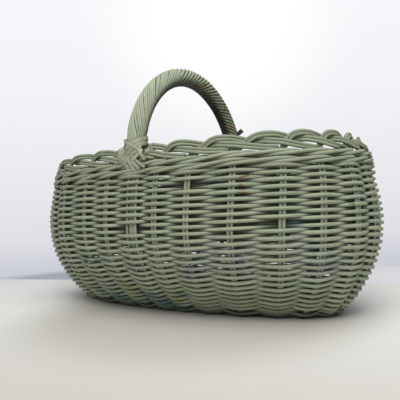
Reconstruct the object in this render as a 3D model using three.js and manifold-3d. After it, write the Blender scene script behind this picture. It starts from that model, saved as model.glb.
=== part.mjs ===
// An oval wicker basket with a fixed roped handle, woven from separate rods.
// Millimetres, +Z up. The origin is on the floor under the middle of the basket,
// X runs along its length and the handle crosses it along Y.
import * as THREE from 'three';
import Module from 'manifold-3d';

const wasm = await Module();
wasm.setup();

// Outside of the weave: an oval plan that bellies out between base and rim
const bellyHalfLength = 203.5;
const bellyHalfWidth = 109;
const ovalPower = 2.154;
const bellyHeight = 96;
const rimHeight = 168.7;
const endInsetAtBase = 40.5;
const sideInsetAtBase = 58.5;
const lowCurvePower = 2.3;
const endInsetAtRim = 19.5;
const sideInsetAtRim = 5.1;
const highCurvePower = 1.43;
const clearance = 0.3;

// Stakes: the distance from each to the next at the belly, for half of the way round
const stakeGaps = [27, 34, 42, 45, 36, 35.5, 28.5, 34.5, 34.5, 34.5, 39.5, 47, 35, 35];
const firstStakeShift = -3.5;
const stakePairWidth = 6.6;
const stakeThickness = 3.4;
const stakeFootWidth = 3.4;
const stakeFullWidthHeight = 62;
// Above the belly the stakes lean a little to the right, and most between the sides and the ends
const stakeLean = 0.062;
const stakeLeanAtCorners = 0.29;
const borderDepth = 16.2;
const waleHeight = 13;
const waleTop = rimHeight - borderDepth;
const waleBottom = waleTop - waleHeight;
const lowKnots = [0, 0.057, 0.143, 0.272].map((share) => share * waleBottom);
const wallKnots = [...lowKnots, stakeFullWidthHeight, bellyHeight, waleBottom, waleTop];

// Side weave: two weavers chase each other, each rising two rows in a turn
const rowCount = 40;
const weaverDepth = 2.8;
const weaverLengths = 4;
const firstStake = 18;
const butt = 0.03;
const tail = 0.12;

// Wale: three rods, in front of two stakes and behind one, for two rounds
const waleRods = 3;
const waleRounds = 2;
const waleDepth = 2.8;

// Border: each stake pair leans over, goes behind the next, in front of the one after, and ends
const borderPairHeight = 4.8;
const borderThickness = 3;
const borderTailHeight = 2.4;

// Handle: a bow whose flat tails stand between the two rods of a stake pair on each side
const bowDiameter = 9;
const bowTailWidth = 5.5;
const bowTailThickness = 3.4;
const bowTailBottom = 35;
const bowNeckHeight = 7;
const handleShift = 1;
const handleFootInset = 3.5;
const handleRise = 97.4;
const handleFootDrop = 12;
const handlePower = 1.964;
const handleDiameter = 19.6;
const ropingGroups = 4;
const ropingFootHeight = 0.5;
const ropingGroove = 0.9;
const ropingInnerRadius = 6.8;
const ropingSeam = 1;
const ropingEndTaper = 1.6;
const ropingTaperLength = 0.04;
// Slope of the roping from the line of the handle, in degrees, from the near foot to the far one
const ropingLay = [18, 24, 32, 42, 52, 55, 53, 47, 42, 38, 35];
const ropingStraightStep = 30;
const skeinWidth = 5;
const skeinThickness = 1.2;
const collarHeight = 9;
// The skeins' route over the border in skein widths: across from the handle, below the rim, and
// outwards from the border
const skeinRoute = [
  { shift: -3, below: 4, lean: 0 },
  { shift: -1, below: 2.4, lean: 0 },
  { shift: 0.8, below: 1, lean: 0 },
  { shift: 1.4, below: -0.04, lean: 1.04 },
];
const skeinTopShift = 6;

// Base
const baseEdgeInset = 7.6;
const baseThickness = 9;
const longStickCount = 3;
const crossStickCount = 7;
const crossStickFromEnd = 50;
const longStickWidth = 5;
const longStickThickness = 2.8;
const crossStickWidth = 8;
const crossStickThickness = 6.4;

const weaverOffset = stakeThickness / 2 + clearance + weaverDepth / 2;
const waleOffset = stakeThickness / 2 + clearance + waleDepth / 2;
const borderOffset = stakeThickness / 2 + clearance + borderThickness / 2;
const wallHalf = weaverOffset + weaverDepth / 2;
const up = new THREE.Vector3(0, 0, 1);

function mix(from, to, share) {
  return from.clone().lerp(to, share);
}

function along(point, ...steps) {
  const result = point.clone();
  for (const [direction, distance] of steps) result.addScaledVector(direction, distance);
  return result;
}

function ovalPoint(halfLength, halfWidth, angle, z) {
  const cos = Math.cos(angle);
  const sin = Math.sin(angle);
  const x = halfLength * Math.sign(cos) * Math.abs(cos) ** (2 / ovalPower);
  const y = halfWidth * Math.sign(sin) * Math.abs(sin) ** (2 / ovalPower);
  return new THREE.Vector3(x, y, z);
}

// Half length and half width of the outside of the weave at a height
function bodyHalves(z) {
  const low = Math.max(0, (bellyHeight - z) / bellyHeight) ** lowCurvePower;
  const high = Math.max(0, (z - bellyHeight) / (rimHeight - bellyHeight)) ** highCurvePower;
  const halfLength = bellyHalfLength - endInsetAtBase * low - endInsetAtRim * high;
  const halfWidth = bellyHalfWidth - sideInsetAtBase * low - sideInsetAtRim * high;
  return [halfLength, halfWidth];
}

function bodyPoint(angle, z) {
  return ovalPoint(...bodyHalves(z), angle, z);
}

function bodyNormal(angle, z) {
  const angleStep = 0.01;
  const heightStep = 0.5;
  const sideways = bodyPoint(angle + angleStep, z).sub(bodyPoint(angle - angleStep, z));
  const upwards = bodyPoint(angle, z + heightStep).sub(bodyPoint(angle, z - heightStep));
  return sideways.cross(upwards).normalize();
}

// Angle reached after a distance along the belly, counted from the middle of the near side
function angleTable() {
  const steps = 2880;
  const table = [{ distance: 0, angle: -Math.PI / 2 }];
  for (let i = 1; i <= steps; i++) {
    const angle = -Math.PI / 2 + (2 * Math.PI * i) / steps;
    const before = table[i - 1];
    const length = bodyPoint(angle, bellyHeight).distanceTo(bodyPoint(before.angle, bellyHeight));
    table.push({ distance: before.distance + length, angle });
  }
  return table;
}

const bellyTable = angleTable();
const bellyPerimeter = bellyTable[bellyTable.length - 1].distance;

function angleAt(distance) {
  const turns = Math.floor(distance / bellyPerimeter);
  const rest = distance - turns * bellyPerimeter;
  const next = Math.max(1, bellyTable.findIndex((row) => row.distance >= rest));
  const a = bellyTable[next - 1];
  const b = bellyTable[next];
  const share = (rest - a.distance) / (b.distance - a.distance);
  return a.angle + share * (b.angle - a.angle) + turns * 2 * Math.PI;
}

// Angle at a height of the line that leaves the belly at a distance round it and leans on above
function leaningAngle(distance, z) {
  const angle = angleAt(distance);
  const rise = Math.max(0, z - bellyHeight);
  const square = -Math.cos(angle) * Math.sin(angle);
  return angleAt(distance + rise * (stakeLean + stakeLeanAtCorners * square));
}

function wallKnot(distance, z) {
  const angle = leaningAngle(distance, z);
  const out = bodyNormal(angle, z);
  return { middle: along(bodyPoint(angle, z), [out, -wallHalf]), out, angle };
}

// The middle of the wall at one place round the basket, as a polyline with outward normals
function makeUpright(distance, stake) {
  const knots = wallKnots.map((z) => wallKnot(distance, z));
  knots[0].run = 0;
  for (let i = 1; i < knots.length; i++) {
    knots[i].run = knots[i - 1].run + knots[i].middle.distanceTo(knots[i - 1].middle);
  }
  return { distance, stake, knots };
}

// A point of the wall at a run up an upright, moved outwards by an offset
function wallAt(upright, run, offset) {
  const { knots } = upright;
  let i = 1;
  while (i < knots.length - 1 && knots[i].run < run) i++;
  const a = knots[i - 1];
  const b = knots[i];
  const share = (run - a.run) / (b.run - a.run);
  const point = mix(along(a.middle, [a.out, offset]), along(b.middle, [b.out, offset]), share);
  return { point, rise: b.middle.clone().sub(a.middle).normalize() };
}

const stakeCount = stakeGaps.length * 2;
const gapScale = bellyPerimeter / (2 * stakeGaps.reduce((sum, gap) => sum + gap, 0));
const rodWidth = stakePairWidth / 2;
const forkSpread = (bowTailWidth + rodWidth) / 2 + clearance;
const carriesBow = (stake) => stake % stakeGaps.length === 0;

function placeStakes() {
  const placed = [];
  let distance = firstStakeShift + bellyPerimeter;
  for (let stake = 0; stake < stakeCount; stake++) {
    placed.push(makeUpright(distance, stake));
    distance += stakeGaps[stake % stakeGaps.length] * gapScale;
  }
  return placed;
}

const stakes = placeStakes();
const bows = stakes.filter(({ stake }) => carriesBow(stake));

// Every upright in the order in which a weaver meets it, starting at the back. Where the bow parts
// the two rods of a stake, the weaver has a place on each of them.
function orderUprights() {
  const order = [];
  for (let i = 0; i < stakeCount; i++) {
    const upright = stakes[(firstStake + i) % stakeCount];
    const { distance, stake } = upright;
    if (carriesBow(stake)) {
      order.push(makeUpright(distance - forkSpread, stake), makeUpright(distance + forkSpread, stake));
    } else {
      order.push(upright);
    }
  }
  return order;
}

const uprights = orderUprights();

// A closed solid through rings that have the same number of points, each face split the short way
function loft(rings, closed = false) {
  const sides = rings[0].length;
  const positions = rings.flat().flatMap((point) => [point.x, point.y, point.z]);
  const index = [];
  const last = closed ? rings.length : rings.length - 1;
  for (let r = 0; r < last; r++) {
    for (let s = 0; s < sides; s++) {
      const after = (r + 1) % rings.length;
      const beside = (s + 1) % sides;
      const a = r * sides + s;
      const b = r * sides + beside;
      const c = after * sides + s;
      const d = after * sides + beside;
      const slant = rings[r][s].distanceTo(rings[after][beside]);
      const otherSlant = rings[r][beside].distanceTo(rings[after][s]);
      if (slant <= otherSlant) index.push(a, b, d, a, d, c);
      else index.push(a, b, c, b, d, c);
    }
  }
  if (!closed) {
    const end = (rings.length - 1) * sides;
    for (let s = 1; s < sides - 1; s++) {
      index.push(0, s + 1, s, end, end + s, end + s + 1);
    }
  }
  return outward(positions, index);
}

// Turns every face of a closed mesh over when its volume comes out negative
function outward(positions, index) {
  let volume = 0;
  const p = (i) => new THREE.Vector3(...positions.slice(3 * i, 3 * i + 3));
  for (let i = 0; i < index.length; i += 3) {
    volume += p(index[i]).dot(p(index[i + 1]).cross(p(index[i + 2])));
  }
  const faces = volume < 0 ? index.slice().reverse() : index;
  const geometry = new THREE.BufferGeometry();
  geometry.setAttribute('position', new THREE.Float32BufferAttribute(positions, 3));
  geometry.setIndex(faces);
  return geometry;
}

function toManifold(geometry) {
  const vertProperties = new Float32Array(geometry.attributes.position.array);
  const triVerts = new Uint32Array(geometry.index.array);
  return new wasm.Manifold(new wasm.Mesh({ numProp: 3, vertProperties, triVerts }));
}

function fromManifold(solid) {
  const mesh = solid.getMesh();
  const geometry = new THREE.BufferGeometry();
  geometry.setAttribute('position', new THREE.Float32BufferAttribute(mesh.vertProperties, 3));
  geometry.setIndex(Array.from(mesh.triVerts));
  return geometry;
}

const paintedCane = { color: 0x8d9478, roughness: 0.62, metalness: 0 };
const paintedStake = { color: 0x868e74, roughness: 0.62, metalness: 0 };
const paintedHandle = { color: 0x959b80, roughness: 0.58, metalness: 0 };
const paintedBase = { color: 0x7c846c, roughness: 0.7, metalness: 0 };

const basket = new THREE.Group();

function addPiece(name, geometry, finish) {
  geometry.computeVertexNormals();
  const mesh = new THREE.Mesh(geometry, new THREE.MeshStandardMaterial(finish));
  mesh.name = name;
  basket.add(mesh);
}

// Three-sided section of a side rod, its ridge outwards
function rodRing(upright, run, offset, depth, height) {
  const ridge = wallAt(upright, run, offset + depth / 2).point;
  const back = wallAt(upright, run, offset - depth / 2);
  return [
    ridge,
    along(back.point, [back.rise, -height / 2]),
    along(back.point, [back.rise, height / 2]),
  ];
}

function mixRings(from, to, share) {
  return from.map((point, i) => mix(point, to[i], share));
}

const waleKnot = wallKnots.indexOf(waleBottom);

function weaverRing(upright, row, weaver) {
  const pitch = upright.knots[waleKnot].run / rowCount;
  const side = (upright.stake + weaver) % 2 === 0 ? 1 : -1;
  const run = (row + 0.5) * pitch;
  return rodRing(upright, run, side * weaverOffset, weaverDepth, pitch - clearance);
}

// One length of a weaver: it climbs two rows at the back, once in each turn
function makeWeaver(weaver, length) {
  const turns = rowCount / 2 / weaverLengths;
  const firstTurn = length * turns;
  const lastTurn = firstTurn + turns - 1;
  const rings = [];
  for (let turn = firstTurn; turn <= lastTurn; turn++) {
    for (const upright of uprights) rings.push(weaverRing(upright, 2 * turn + weaver, weaver));
  }
  const firstUpright = uprights[0];
  const lastUpright = uprights[uprights.length - 1];
  const starts = length === 0;
  const ends = length === weaverLengths - 1;
  const before = weaverRing(lastUpright, 2 * (starts ? firstTurn : firstTurn - 1) + weaver, weaver);
  const after = weaverRing(firstUpright, 2 * (ends ? lastTurn : lastTurn + 1) + weaver, weaver);
  const startShare = starts ? tail : 0.5 - butt;
  const endShare = ends ? tail : 0.5 - butt;
  const first = mixRings(rings[0], before, startShare);
  const last = mixRings(rings[rings.length - 1], after, endShare);
  return loft([first, ...rings, last]);
}

for (let length = 0; length < weaverLengths; length++) {
  for (const [weaver, letter] of ['a', 'b'].entries()) {
    addPiece(`weaver_${letter}_${length + 1}`, makeWeaver(weaver, length), paintedCane);
  }
}

// Heights of a wale rod over a period of three stakes, in rod thicknesses: low, high, inside
const waleHeights = [0.5, 1.5, 1];
const waleSides = [1, 1, -1];

function waleRing(upright, phase, level, offsetShare, height) {
  const bottom = upright.knots[waleKnot].run;
  const top = upright.knots[upright.knots.length - 1].run;
  const rodHeight = (top - bottom) / (2 * waleRounds);
  const run = bottom + (2 * level + height) * rodHeight;
  return rodRing(upright, run, offsetShare * waleOffset, waleDepth, rodHeight - clearance);
}

function makeWaleRod(rod) {
  const rings = [];
  let step = 0;
  const stops = [];
  for (let round = 0; round < waleRounds; round++) {
    for (const upright of uprights) {
      const last = stops[stops.length - 1];
      if (last && last.upright.stake !== upright.stake) step++;
      stops.push({ upright, round, phase: (step + rod) % waleRods });
    }
  }
  stops.forEach((stop, i) => {
    const { upright, round, phase } = stop;
    const here = waleRing(upright, phase, round, waleSides[phase], waleHeights[phase]);
    const previous = stops[i - 1];
    if (previous && previous.phase !== phase && waleSides[previous.phase] !== waleSides[phase]) {
      // Halfway through the wall the rod already has the height of its outside end
      const height = phase === 2 ? waleHeights[1] : waleHeights[0];
      const from = waleRing(previous.upright, phase, previous.round, 0, height);
      const to = waleRing(upright, phase, round, 0, height);
      rings.push(mixRings(from, to, 0.5));
    }
    rings.push(here);
  });
  const first = mixRings(rings[0], rings[1], -tail);
  const last = mixRings(rings[rings.length - 1], rings[rings.length - 2], -tail);
  return loft([first, ...rings, last]);
}

for (let rod = 0; rod < waleRods; rod++) {
  addPiece(`wale_rod_${rod + 1}`, makeWaleRod(rod), paintedCane);
}

// Four-sided ring round a path point: a width across the path and a thickness along the normal
function pairRing(centre, across, out, width, thickness) {
  return [
    along(centre, [across, width / 2]),
    along(centre, [out, thickness / 2]),
    along(centre, [across, -width / 2]),
    along(centre, [out, -thickness / 2]),
  ];
}

// The border path after the wale: stakes passed, how far out of the wall's middle (1 is in front of
// a stake and -1 behind it), and how far under the rim, in heights of a pair
const borderPath = [
  { passed: 0.14, front: 0, below: 2.2, height: borderPairHeight },
  { passed: 0.36, front: 0.17, below: 0.83, height: borderPairHeight },
  { passed: 0.62, front: 0.23, below: 0.5, height: borderPairHeight },
  { passed: 0.96, front: -1, below: 0.75, height: borderPairHeight },
  { passed: 1.38, front: -1, below: 1.3, height: borderPairHeight },
  { passed: 1.92, front: 1, below: 2.3, height: borderPairHeight },
  { passed: 2.2, front: 1, below: 2.58, height: borderPairHeight },
  { passed: 2.74, front: 0.4, below: 2.9, height: borderTailHeight },
];
// Beside the bow a stake starts its border further on
const borderStartBesideBow = 0.32;

function borderPoint(stake, { passed, front, below }) {
  const whole = Math.floor(passed);
  const here = stakes[(stake + whole) % stakeCount];
  const next = stakes[(stake + whole + 1) % stakeCount];
  const wrap = next.distance < here.distance ? bellyPerimeter : 0;
  const distance = here.distance + (passed - whole) * (next.distance + wrap - here.distance);
  const z = rimHeight - below * borderPairHeight;
  const angle = leaningAngle(distance, z);
  const out = bodyNormal(angle, Math.min(z, rimHeight - 1));
  return { middle: along(bodyPoint(angle, z), [out, front * borderOffset - wallHalf]), out };
}

function baseHalves() {
  const [halfLength, halfWidth] = bodyHalves(0);
  return [halfLength - baseEdgeInset, halfWidth - baseEdgeInset];
}

// Rings of a stake, or of one rod of it, from the edge of the base to the top of the wale
function wallRings(knots, widths) {
  const foot = knots[0];
  const edge = ovalPoint(...baseHalves(), foot.angle, foot.middle.z);
  const sideways = foot.out.clone().cross(up).negate().normalize();
  const inner = mix(edge, foot.middle, clearance / edge.distanceTo(foot.middle));
  const rings = [pairRing(inner, sideways, up.clone().negate(), widths[0], stakeThickness)];
  knots.forEach(({ middle, out }, i) => {
    const across = up.clone().cross(out).normalize();
    rings.push(pairRing(middle, across, out, widths[i], stakeThickness));
  });
  return rings;
}

function borderRings(stake, last) {
  const path = borderPath.map((stop) => {
    const start = carriesBow(stake) ? borderStartBesideBow : 0;
    return borderPoint(stake, { ...stop, passed: Math.max(start, stop.passed) });
  });
  return path.map(({ middle, out }, i) => {
    const before = i === 0 ? last.middle : path[i - 1].middle;
    const after = i === path.length - 1 ? middle : path[i + 1].middle;
    const heading = after.clone().sub(before).normalize();
    const across = heading.clone().cross(out).normalize();
    return pairRing(middle, across, out, borderPath[i].height, borderThickness);
  });
}

const widthShares = wallKnots.map((z) => Math.min(1, z / stakeFullWidthHeight));

function makeStake({ stake, knots }) {
  const widths = widthShares.map((share) => stakeFootWidth + share * (stakePairWidth - stakeFootWidth));
  const rings = wallRings(knots, widths);
  return loft([...rings, ...borderRings(stake, knots[knots.length - 1])]);
}

// A stake whose two rods part for the tail of the bow: the left one ends above the wale
function makeForkedStake({ distance, stake }) {
  const footWidth = (2 / 3) * stakeFootWidth;
  const footSpread = (stakeFootWidth - footWidth) / 2;
  const widths = widthShares.map((share) => footWidth + share * (rodWidth - footWidth));
  const rods = [-1, 1].map((side) => {
    const knots = wallKnots.map((z) => {
      const parted = Math.min(1, z / bowTailBottom);
      return wallKnot(distance + side * (footSpread + parted * (forkSpread - footSpread)), z);
    });
    const rings = wallRings(knots, widths);
    if (side > 0) rings.push(...borderRings(stake, knots[knots.length - 1]));
    return toManifold(loft(rings));
  });
  return fromManifold(rods[0].add(rods[1]));
}

for (const upright of stakes) {
  const name = `stake_${String(upright.stake + 1).padStart(2, '0')}`;
  addPiece(name, carriesBow(upright.stake) ? makeForkedStake(upright) : makeStake(upright), paintedStake);
}

const handleHalfSpan = bodyHalves(rimHeight)[1] - handleFootInset;

// Centre line of the handle above the rim, from the near foot at 0 to the far foot at 1
function handlePoint(share) {
  const turn = Math.PI * share;
  const reach = Math.sign(Math.cos(turn)) * Math.abs(Math.cos(turn)) ** (2 / handlePower);
  const rise = handleRise * Math.abs(Math.sin(turn)) ** (2 / handlePower);
  return new THREE.Vector3(handleShift, -handleHalfSpan * reach, rimHeight - handleFootDrop + rise);
}

function handleFrame(share) {
  const step = 0.004;
  const low = Math.max(0, share - step);
  const high = Math.min(1, share + step);
  const heading = handlePoint(high).sub(handlePoint(low)).normalize();
  const sideways = new THREE.Vector3(1, 0, 0);
  sideways.addScaledVector(heading, -sideways.dot(heading)).normalize();
  const out = sideways.clone().cross(heading).normalize();
  return { centre: handlePoint(share), heading, sideways, out };
}

// The share of the handle's centre line at which it reaches a height on its near side
function shareAtHeight(z) {
  let low = 0;
  let high = 0.5;
  for (let i = 0; i < 40; i++) {
    const middle = (low + high) / 2;
    if (handlePoint(middle).z < z) low = middle;
    else high = middle;
  }
  return low;
}

// Eight points on a circle, or on the flattened tail of the bow where round is 0
function bowRing(centre, across, out, width, thickness, round) {
  const ring = [];
  for (let i = 0; i < 8; i++) {
    const turn = (i * Math.PI) / 4;
    const diamond = 1 / (Math.abs(Math.cos(turn)) + Math.abs(Math.sin(turn)));
    const reach = diamond + (1 - diamond) * round;
    const a = (width / 2) * Math.cos(turn) * reach;
    const b = (thickness / 2) * Math.sin(turn) * reach;
    ring.push(along(centre, [across, a], [out, b]));
  }
  return ring;
}

const ropingStart = shareAtHeight(rimHeight + ropingFootHeight);
const bowFull = shareAtHeight(rimHeight + bowNeckHeight);

function bowTail(upright) {
  const rings = [];
  const bottomRun = (bowTailBottom / rimHeight) * upright.knots[upright.knots.length - 1].run;
  const tip = wallAt(upright, bottomRun, 0);
  const inner = upright.knots.filter(({ run }) => run > bottomRun + stakePairWidth);
  const across = (out) => up.clone().cross(out).normalize();
  const tipOut = inner[0].out;
  const tipWidth = bowTailWidth / 2;
  rings.push(bowRing(tip.point, across(tipOut), tipOut, tipWidth, bowTailThickness, 0));
  for (const { middle, out } of inner) {
    rings.push(bowRing(middle, across(out), out, bowTailWidth, bowTailThickness, 0));
  }
  return rings;
}

function makeBow() {
  const near = bowTail(bows[0]);
  const far = bowTail(bows[1]);
  const arch = [];
  const steps = 22;
  const neck = handleFrame(ropingStart);
  arch.push(bowRing(neck.centre, neck.sideways, neck.out, bowTailWidth, bowTailThickness, 0));
  for (let i = 0; i <= steps; i++) {
    const share = bowFull + ((1 - 2 * bowFull) * i) / steps;
    const { centre, sideways, out } = handleFrame(share);
    arch.push(bowRing(centre, sideways, out, bowDiameter, bowDiameter, 1));
  }
  const end = handleFrame(1 - ropingStart);
  arch.push(bowRing(end.centre, end.sideways, end.out, bowTailWidth, bowTailThickness, 0));
  // The far tail is read downwards, with its points turned to face as the arch's do
  const farRings = far.reverse().map((ring) => ring.map((point, i) => ring[(12 - i) % 8]));
  return loft([...near, ...arch, ...farRings]);
}

addPiece('handle_bow', makeBow(), paintedHandle);

// Places along the handle for the rings of the roping, closest where it turns fastest
function ropingStations(steps) {
  const samples = 400;
  const walk = [{ share: ropingStart, twist: 0, effort: 0 }];
  for (let i = 1; i <= samples; i++) {
    const before = walk[i - 1];
    const share = ropingStart + ((1 - 2 * ropingStart) * i) / samples;
    const length = handlePoint(share).distanceTo(handlePoint(before.share));
    const place = ((i - 0.5) / samples) * (ropingLay.length - 1);
    const whole = Math.floor(place);
    const lay = ropingLay[whole] + (place - whole) * (ropingLay[whole + 1] - ropingLay[whole]);
    const turned = (Math.tan(THREE.MathUtils.degToRad(lay)) * length) / (handleDiameter / 2);
    const effort = before.effort + turned + length / ropingStraightStep;
    walk.push({ share, twist: before.twist + turned, effort });
  }
  const total = walk[samples].effort;
  const stations = [];
  for (let i = 0; i <= steps; i++) {
    stations.push(walk.find(({ effort }) => effort >= (total * i) / steps - 1e-9));
  }
  return stations;
}

// One group of thin rods wound round the bow, a quarter of the way round it
function makeRoping(group) {
  const steps = 40;
  const ridge = handleDiameter / 2;
  const valley = ridge - ropingGroove;
  const halfAngle = Math.PI / ropingGroups - ropingSeam / handleDiameter;
  const outline = [
    { radius: ropingInnerRadius, turn: -halfAngle },
    { radius: valley, turn: -halfAngle },
    { radius: ridge, turn: -halfAngle / 2 },
    { radius: valley, turn: 0 },
    { radius: ridge, turn: halfAngle / 2 },
    { radius: valley, turn: halfAngle },
    { radius: ropingInnerRadius, turn: halfAngle },
  ];
  const rings = [];
  for (const { share, twist } of ropingStations(steps)) {
    const { centre, sideways, out } = handleFrame(share);
    const start = twist + (2 * Math.PI * group) / ropingGroups;
    const fromEnd = Math.min(share, 1 - share) - ropingStart;
    const drawnIn = ropingEndTaper * Math.max(0, 1 - fromEnd / ropingTaperLength);
    rings.push(outline.map(({ radius, turn }) => {
      const reach = radius > ropingInnerRadius ? radius - drawnIn : radius;
      const a = reach * Math.cos(turn + start);
      const b = reach * Math.sin(turn + start);
      return along(centre, [sideways, a], [out, b]);
    }));
  }
  return loft(rings);
}

for (let group = 0; group < ropingGroups; group++) {
  addPiece(`roping_${group + 1}`, makeRoping(group), paintedHandle);
}

// A flat skein through points, its flat side facing out
function skein(stops) {
  const rings = stops.map(({ middle, out }, i) => {
    const before = stops[Math.max(0, i - 1)].middle;
    const after = stops[Math.min(stops.length - 1, i + 1)].middle;
    const heading = after.clone().sub(before).normalize();
    const across = heading.cross(out).normalize();
    const half = { width: skeinWidth / 2, thickness: skeinThickness / 2 };
    const corner = (a, b) => along(middle, [across, a * half.width], [out, b * half.thickness]);
    return [corner(-1, -1), corner(1, -1), corner(1, 1), corner(-1, 1)];
  });
  return toManifold(loft(rings));
}

function collar({ centre, heading, sideways, out }) {
  const sides = 16;
  const inner = handleDiameter / 2 + clearance;
  const rings = [];
  for (let i = 0; i < sides; i++) {
    const turn = (2 * Math.PI * i) / sides;
    const radial = along(new THREE.Vector3(), [sideways, Math.cos(turn)], [out, Math.sin(turn)]);
    const reach = inner / Math.cos(Math.PI / sides);
    const corner = (a, b) => {
      return along(centre, [radial, reach + b * skeinThickness], [heading, (a * skeinWidth) / 2]);
    };
    rings.push([corner(-1, 0), corner(1, 0), corner(1, 1), corner(-1, 1)]);
  }
  return toManifold(loft(rings, true));
}

// A band round the foot of the handle, with two skeins that cross over the outside of the border
function makeLashing(isFar) {
  const collarShare = shareAtHeight(rimHeight + collarHeight);
  const top = handleFrame(isFar ? 1 - collarShare : collarShare);
  let solid = collar(top);
  const front = borderOffset + borderThickness / 2 + clearance * 2 + skeinThickness / 2;
  const facing = isFar ? -1 : 1;
  const middleDistance = isFar ? bellyPerimeter / 2 - handleShift : handleShift;
  for (const side of [-1, 1]) {
    const stops = skeinRoute.map(({ shift, below, lean }) => {
      const angle = angleAt(middleDistance + side * shift * skeinWidth);
      const z = rimHeight - below * skeinWidth;
      const out = bodyNormal(angle, Math.min(z, rimHeight - 1));
      const skin = bodyPoint(angle, Math.min(z, rimHeight));
      skin.z = z;
      return { middle: along(skin, [out, front - wallHalf + lean * skeinWidth]), out };
    });
    const { out } = stops[stops.length - 1];
    const reach = handleDiameter / 2 + clearance + skeinThickness / 2;
    const across = facing * side * skeinTopShift;
    const forward = Math.sqrt(reach ** 2 - across ** 2);
    stops.push({ middle: along(top.centre, [top.sideways, across], [out, forward]), out });
    solid = solid.add(skein(stops));
  }
  return fromManifold(solid);
}

addPiece('lashing_near', makeLashing(false), paintedHandle);
addPiece('lashing_far', makeLashing(true), paintedHandle);

// Base: long sticks pass through slots in the cross sticks, inside the base weave
function block(sizeX, sizeY, sizeZ, x, y, z) {
  const geometry = new THREE.BoxGeometry(sizeX, sizeY, sizeZ);
  geometry.translate(x, y, z);
  const corners = geometry.attributes.position;
  const merged = new Map();
  const positions = [];
  const index = Array.from(geometry.index.array, (i) => {
    const key = [corners.getX(i), corners.getY(i), corners.getZ(i)].join();
    if (!merged.has(key)) {
      merged.set(key, positions.length / 3);
      positions.push(corners.getX(i), corners.getY(i), corners.getZ(i));
    }
    return merged.get(key);
  });
  return toManifold(outward(positions, index));
}

const [baseHalfLength, baseHalfWidth] = baseHalves();
const baseMiddle = baseThickness / 2;
const longStickPitch = longStickWidth + clearance;
const slotWidth = longStickPitch * longStickCount + clearance;
const slotHeight = longStickThickness + 2 * clearance;
const endCover = 1;
const crossStickSpacing = (2 * (baseHalfLength - crossStickFromEnd)) / (crossStickCount - 1);

function baseHalfWidthAt(x) {
  return baseHalfWidth * (1 - (Math.abs(x) / baseHalfLength) ** ovalPower) ** (1 / ovalPower);
}

function baseHalfLengthAt(y) {
  return baseHalfLength * (1 - (Math.abs(y) / baseHalfWidth) ** ovalPower) ** (1 / ovalPower);
}

const crossPlaces = [];
for (let i = 0; i < crossStickCount; i++) {
  const x = (i - (crossStickCount - 1) / 2) * crossStickSpacing;
  const outerSide = Math.abs(x) + crossStickWidth / 2;
  crossPlaces.push({ x, length: 2 * (baseHalfWidthAt(outerSide) - endCover) });
}

crossPlaces.forEach(({ x, length }, i) => {
  const stick = block(crossStickWidth, length, crossStickThickness, x, 0, baseMiddle);
  const slot = block(crossStickWidth * 2, slotWidth, slotHeight, x, 0, baseMiddle);
  addPiece(`base_stick_cross_${i + 1}`, fromManifold(stick.subtract(slot)), paintedBase);
});

const longPlaces = [];
for (let i = 0; i < longStickCount; i++) {
  const y = (i - (longStickCount - 1) / 2) * longStickPitch;
  const outerSide = Math.abs(y) + longStickWidth / 2;
  longPlaces.push({ y, length: 2 * (baseHalfLengthAt(outerSide) - endCover) });
}

longPlaces.forEach(({ y, length }, i) => {
  const stick = block(length, longStickWidth, longStickThickness, 0, y, baseMiddle);
  addPiece(`base_stick_long_${i + 1}`, fromManifold(stick), paintedBase);
});

function makeBaseWeave() {
  const sides = 48;
  const rings = [0, baseThickness].map((z) => {
    const ring = [];
    for (let i = 0; i < sides; i++) {
      ring.push(ovalPoint(baseHalfLength, baseHalfWidth, (2 * Math.PI * i) / sides, z));
    }
    return ring;
  });
  let solid = toManifold(loft(rings));
  const crossHole = crossStickWidth + 2 * clearance;
  const crossHoleHeight = crossStickThickness + 2 * clearance;
  const through = 2 * bellyHalfWidth;
  for (const { x } of crossPlaces) {
    solid = solid.subtract(block(crossHole, through, crossHoleHeight, x, 0, baseMiddle));
  }
  const longHole = block(2 * bellyHalfLength, slotWidth, slotHeight, 0, 0, baseMiddle);
  return fromManifold(solid.subtract(longHole));
}

addPiece('base_weave', makeBaseWeave(), paintedBase);

export default basket;
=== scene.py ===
import math
import bpy
import numpy as np
from mathutils import Matrix, Vector


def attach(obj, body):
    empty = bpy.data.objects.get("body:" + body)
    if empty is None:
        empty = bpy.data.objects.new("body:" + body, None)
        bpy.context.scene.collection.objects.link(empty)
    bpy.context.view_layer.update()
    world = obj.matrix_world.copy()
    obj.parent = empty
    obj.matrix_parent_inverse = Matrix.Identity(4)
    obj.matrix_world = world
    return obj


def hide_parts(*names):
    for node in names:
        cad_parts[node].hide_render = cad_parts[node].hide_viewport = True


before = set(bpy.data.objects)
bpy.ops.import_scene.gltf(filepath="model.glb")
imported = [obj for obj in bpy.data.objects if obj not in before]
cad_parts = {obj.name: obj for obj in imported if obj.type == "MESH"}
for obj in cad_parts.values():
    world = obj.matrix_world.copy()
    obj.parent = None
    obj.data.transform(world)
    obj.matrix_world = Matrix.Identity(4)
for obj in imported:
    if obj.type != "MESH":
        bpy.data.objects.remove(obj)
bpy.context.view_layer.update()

scene = bpy.context.scene
mm = 0.001
rng = np.random.default_rng(11)
print("frame loaded")

cameraView = {"target": (5.67, 3.66, 116.04), "azimuth": 32.81, "elevation": -1.566,
              "distance": 537.15, "roll": -1.94, "lens": 42.49}


def placeObject(name, data):
    made = bpy.data.objects.new(name, data)
    scene.collection.objects.link(made)
    return made


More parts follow.
